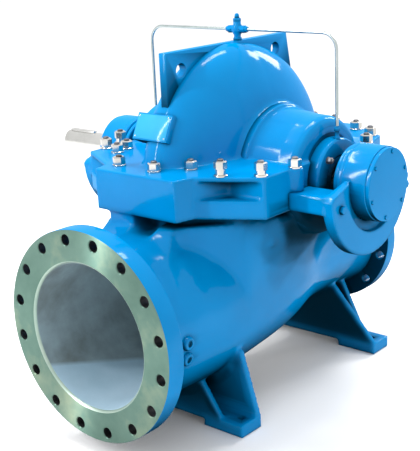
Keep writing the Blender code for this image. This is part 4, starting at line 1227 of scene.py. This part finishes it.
# %% Cross fitting, its nuts and the feet of the pipes
ON_TEE = (0.0, 0.0, TEE_Z)
cross = spun([(1.0213, 0.0), (1.0213, 0.0125), (1.027, 0.0125), (1.029, 0.0100), (1.036, 0.0100),
              (1.044, 0.0150), (1.052, 0.0165), (1.060, 0.0150), (1.066, 0.0110), (1.074, 0.0110),
              (1.074, 0.0)], "z", HERE, 32)
spun([(-0.0160, 0.0), (-0.0160, 0.0105), (-0.010, 0.0118), (0.010, 0.0118), (0.0160, 0.0105),
      (0.0160, 0.0)], "x", ON_TEE, 32, cross)
piece("cross_fitting", cross, replaces=["flush_tee"])
for prefix, side in ENDS:
    outward = Vector((side, 0, 0))
    nut = bmesh.new()
    add_hexagon(nut, outward, ON_TEE, 0.0205, 0.0163, 0.0300)
    spun([(0.029, 0.0), (0.029, 0.0095), (0.036, 0.0080), (0.038, 0.0070), (0.038, 0.0)],
         outward, ON_TEE, 24, nut)
    piece(prefix + "_cross_nut", nut, replaces=[prefix + "_tee_nut"])
    foot = bmesh.new()
    place = outward * PIPE_FOOT_X
    spun([(0.7640, 0.0), (0.7640, 0.0090), (0.7700, 0.0078), (0.7740, 0.0058), (0.7900, 0.0055),
          (0.7900, 0.0)], "z", place, 28, foot)
    add_hexagon(foot, "z", place, 0.0140, 0.7885, 0.7985)
    spun([(0.7975, 0.0), (0.7975, 0.0062), (0.8018, 0.0052), (0.8018, 0.0)], "z", place, 24, foot)
    piece(prefix + "_pipe_foot", foot, replaces=[prefix + "_pipe_fitting"])
vent = bmesh.new()
add_hexagon(vent, "z", HERE, 0.0200, 1.0743, 1.083)
spun([(1.082, 0.0), (1.082, 0.0075), (1.092, 0.0062), (1.0955, 0.0045), (1.0968, 0.0)],
     "z", HERE, 24, vent)
piece("vent_plug_turned", vent, replaces=["vent_plug"])

# %% Plugs on the suction neck
PLUG_Y, PLUG_HEIGHTS, NECK_RADIUS = -0.530, (0.322, 0.278), 0.228
boss_line = [(0.220, 0.0), (0.220, 0.0205), (0.231, 0.0190), (0.2375, 0.0165), (0.2390, 0.0140),
             (0.2390, 0.0085), (0.2350, 0.0078), (0.2350, 0.0)]
socket_line = [(0.2340, 0.0), (0.2340, 0.0082), (0.2372, 0.0080), (0.2372, 0.0045),
               (0.2350, 0.0042), (0.2350, 0.0)]
for number, z in enumerate(PLUG_HEIGHTS, 1):
    slope = math.asin((z - NOZZLE_Z) / NECK_RADIUS)
    way = Vector((math.cos(slope), 0.0, math.sin(slope)))
    centre = (0.0, PLUG_Y, NOZZLE_Z)
    piece("gauge_boss_%d" % number, spun(boss_line, way, centre, 32),
          replaces=["suction_gauge_plug_%d" % number])
    piece("gauge_socket_%d" % number, spun(socket_line, way, centre, 6))

# %% [markdown]
# ## Painted shade where the sky can't be seen
# Behind the brackets and beneath the overhanging flange little light gets in, and
# that shade is painted into the enamel as a darker colour. From each enamelled point
# rays go out to the upper half of the sky, and the share that gets away tells how
# open the point is: the less open, the darker the paint. The belly, the feet's
# plates, the back of the discharge flange and the plugs' sockets are painted dark
# as shade besides. The value is stored as a point attribute, which the enamel reads.

# %% How much sky each painted point sees
def sky_rays(count):
    golden = math.pi * (3 - math.sqrt(5))
    rays = []
    for k in range(count):
        rise = (k + 0.5) / count
        flat = math.sqrt(1 - rise * rise)
        rays.append(Vector((flat * math.cos(golden * k), flat * math.sin(golden * k), rise)))
    return rays


def blend(mesh, rounds):
    """Evens the painted shade out between neighbouring points."""
    count = len(mesh.vertices)
    value = np.empty(count)
    shade_layer = mesh.attributes["painted_shade"].data
    shade_layer.foreach_get("value", value)
    first, second, valence = neighbours(mesh)
    for _ in range(rounds):
        total = np.bincount(first, value[second], count) + np.bincount(second, value[first], count)
        value = (value + total / valence) / 2
    shade_layer.foreach_set("value", value)


# %% Places painted dark as shade
BELLY_Z, BELLY_SHADE, SOCKET_SHADE, FLANGE_BACK_SHADE = 0.36, 0.9, 0.8, 0.95
PLATE_SHADE, PLATE_BACK_SHADE = 1.0, 0.6


# painted shade on the belly, the feet's plates, the back of the discharge flange and the sockets
def kept_shaded(item, place, way):
    if item.name.startswith("gauge_socket"):
        return SOCKET_SHADE
    if item.name == "discharge_flange_ring" and way.y < -0.8:
        return FLANGE_BACK_SHADE
    if FOOT_PAD + 0.002 < place.z < 0.30 and abs(way.y) >= 0.75:
        for name, (low, high, *_) in FEET.items():
            if low - 0.004 < place.y < high + 0.004:
                most = PLATE_SHADE if way.y < 0 else PLATE_BACK_SHADE
                if name == "rear" or place.y < low + FOOT_PLATE + 0.004:
                    return most
                return most * clamped((0.21 - abs(place.x)) / 0.09)
    return BELLY_SHADE * clamped((-way.z - 0.30) / 0.40) if place.z < BELLY_Z else 0.0


# %% Paint shade on the enamelled pieces by the sky they see
OPEN_ENOUGH, SHUT = 0.35, 0.10
RAYS = sky_rays(40)


# paints shade: the less sky a point sees, the darker its enamel
def paint_sky_shade(item, tree, rounds):
    mesh = item.data
    if "painted_shade" not in mesh.attributes:
        mesh.attributes.new("painted_shade", "FLOAT", "POINT")
    shade_layer = mesh.attributes["painted_shade"].data
    for vert in mesh.vertices:
        way = vert.normal
        if abs(vert.co.z - PARTING_Z) < 0.002 and abs(way.z) < 0.95:
            way = Vector((way.x, way.y, 0.0)).normalized()
        start = vert.co + way * 0.002
        seen = 0.0
        for ray in RAYS:
            facing = ray.dot(way)
            if facing > 0.0 and tree.ray_cast(start, ray)[0] is None:
                seen += facing
        share = seen / (len(RAYS) / 2)
        dark = max(clamped((OPEN_ENOUGH - share) / (OPEN_ENOUGH - SHUT)),
                   kept_shaded(item, vert.co - TO_FRAME, way))
        shade_layer[vert.index].value = max(shade_layer[vert.index].value, dark)
    if rounds:
        blend(mesh, rounds)


painted = [item for item in bpy.context.scene.objects
           if item.type == "MESH" and casting_paint.name in item.data.materials]
everything = bmesh.new()
for item in painted:
    everything.from_mesh(item.data)
sky_tree = BVHTree.FromBMesh(everything)
everything.free()
for item in painted:
    paint_sky_shade(item, sky_tree, 8 if len(item.data.vertices) > 20000 else 0)
print("sky_shade_painted", len(painted), "pieces")

# %% [markdown]
# ## Floor, light and camera
# The pump is shown on a plain white ground under soft light: a bright sky all
# round and four lamps, each placed where its reflection makes one of the photo's
# highlights. The camera's place and lens were measured from the sixteen holes of
# the suction flange.

# %% Floor
floor_shape = bmesh.new()
bmesh.ops.create_grid(floor_shape, x_segments=2, y_segments=2, size=30.0)
floor_item = to_mesh("floor", floor_shape, Vector((0, 0, -0.0005)))
floor_white, floor_shader = new_material("pale_floor", (0.97, 0.97, 0.97), 0.7, 0.0)
grain = noise(floor_white, object_space(floor_white), 3.0, 2.0)
white = ramp(floor_white, grain, [(0.0, (0.96, 0.96, 0.96)), (1.0, (0.98, 0.98, 0.98))])
wire(floor_white, white, floor_shader.inputs["Base Color"])
floor_item.data.materials.append(floor_white)

# %% Lights
world = bpy.data.worlds.new("studio")
bpy.context.scene.world = world
world.use_nodes = True
sky = world.node_tree.nodes["Background"]
sky.inputs["Color"].default_value = (1.0, 1.0, 1.0, 1.0)
sky.inputs["Strength"].default_value = 1.1


def lamp(name, place, target, size, power):
    light = bpy.data.lights.new(name, "AREA")
    light.shape = "RECTANGLE"
    light.size, light.size_y = size
    light.energy = power
    item = bpy.data.objects.new(name, light)
    turn = (Vector(target) - Vector(place)).to_track_quat("-Z", "Y").to_matrix().to_4x4()
    item.matrix_world = Matrix.Translation(Vector(place)) @ turn
    bpy.context.scene.collection.objects.link(item)


lamp("front_lamp", (-1.55, -3.1, 2.3), (0.2, -0.1, 0.7), (0.16, 3.0), 95)
lamp("side_lamp", (-1.58, 0.0, 3.8), (0.22, 0.0, 0.79), (2.6, 0.12), 62)
lamp("back_lamp", (0.38, 3.15, 2.35), (0.06, 0.0, 0.95), (0.80, 1.00), 68)
lamp("top_lamp", (0.15, 1.0, 3.7), (0.04, -0.14, 0.99), (0.50, 1.40), 58)
print("lamps", [item.name for item in bpy.data.lights])

# %% Camera
LENS, SENSOR = 80.822, 36.0
CAMERA_PLACE, CAMERA_TURN = (1.840, -2.293, 1.342), (40.7428, 16.5454, -2.5054)
camera_data = bpy.data.cameras.new("photo_camera")
camera_data.sensor_fit = "VERTICAL"
camera_data.sensor_height = SENSOR
camera_data.lens = LENS
camera_data.clip_end = 100.0
camera = bpy.data.objects.new("photo_camera", camera_data)
bpy.context.scene.collection.objects.link(camera)
azimuth, elevation, roll = (math.radians(angle) for angle in CAMERA_TURN)
back = Vector((math.sin(azimuth) * math.cos(elevation), -math.cos(azimuth) * math.cos(elevation),
               math.sin(elevation)))
level = (-back).cross(AXIS["z"]).normalized()
down = (-back).cross(level)
right = level * math.cos(roll) - down * math.sin(roll)
below = level * math.sin(roll) + down * math.cos(roll)
turn = Matrix((right, -below, back)).transposed().to_4x4()
camera.matrix_world = Matrix.Translation(Vector(CAMERA_PLACE) + TO_FRAME) @ turn
bpy.context.scene.camera = camera
bpy.context.scene.view_settings.view_transform = "Standard"
print("camera at", camera.matrix_world.translation)
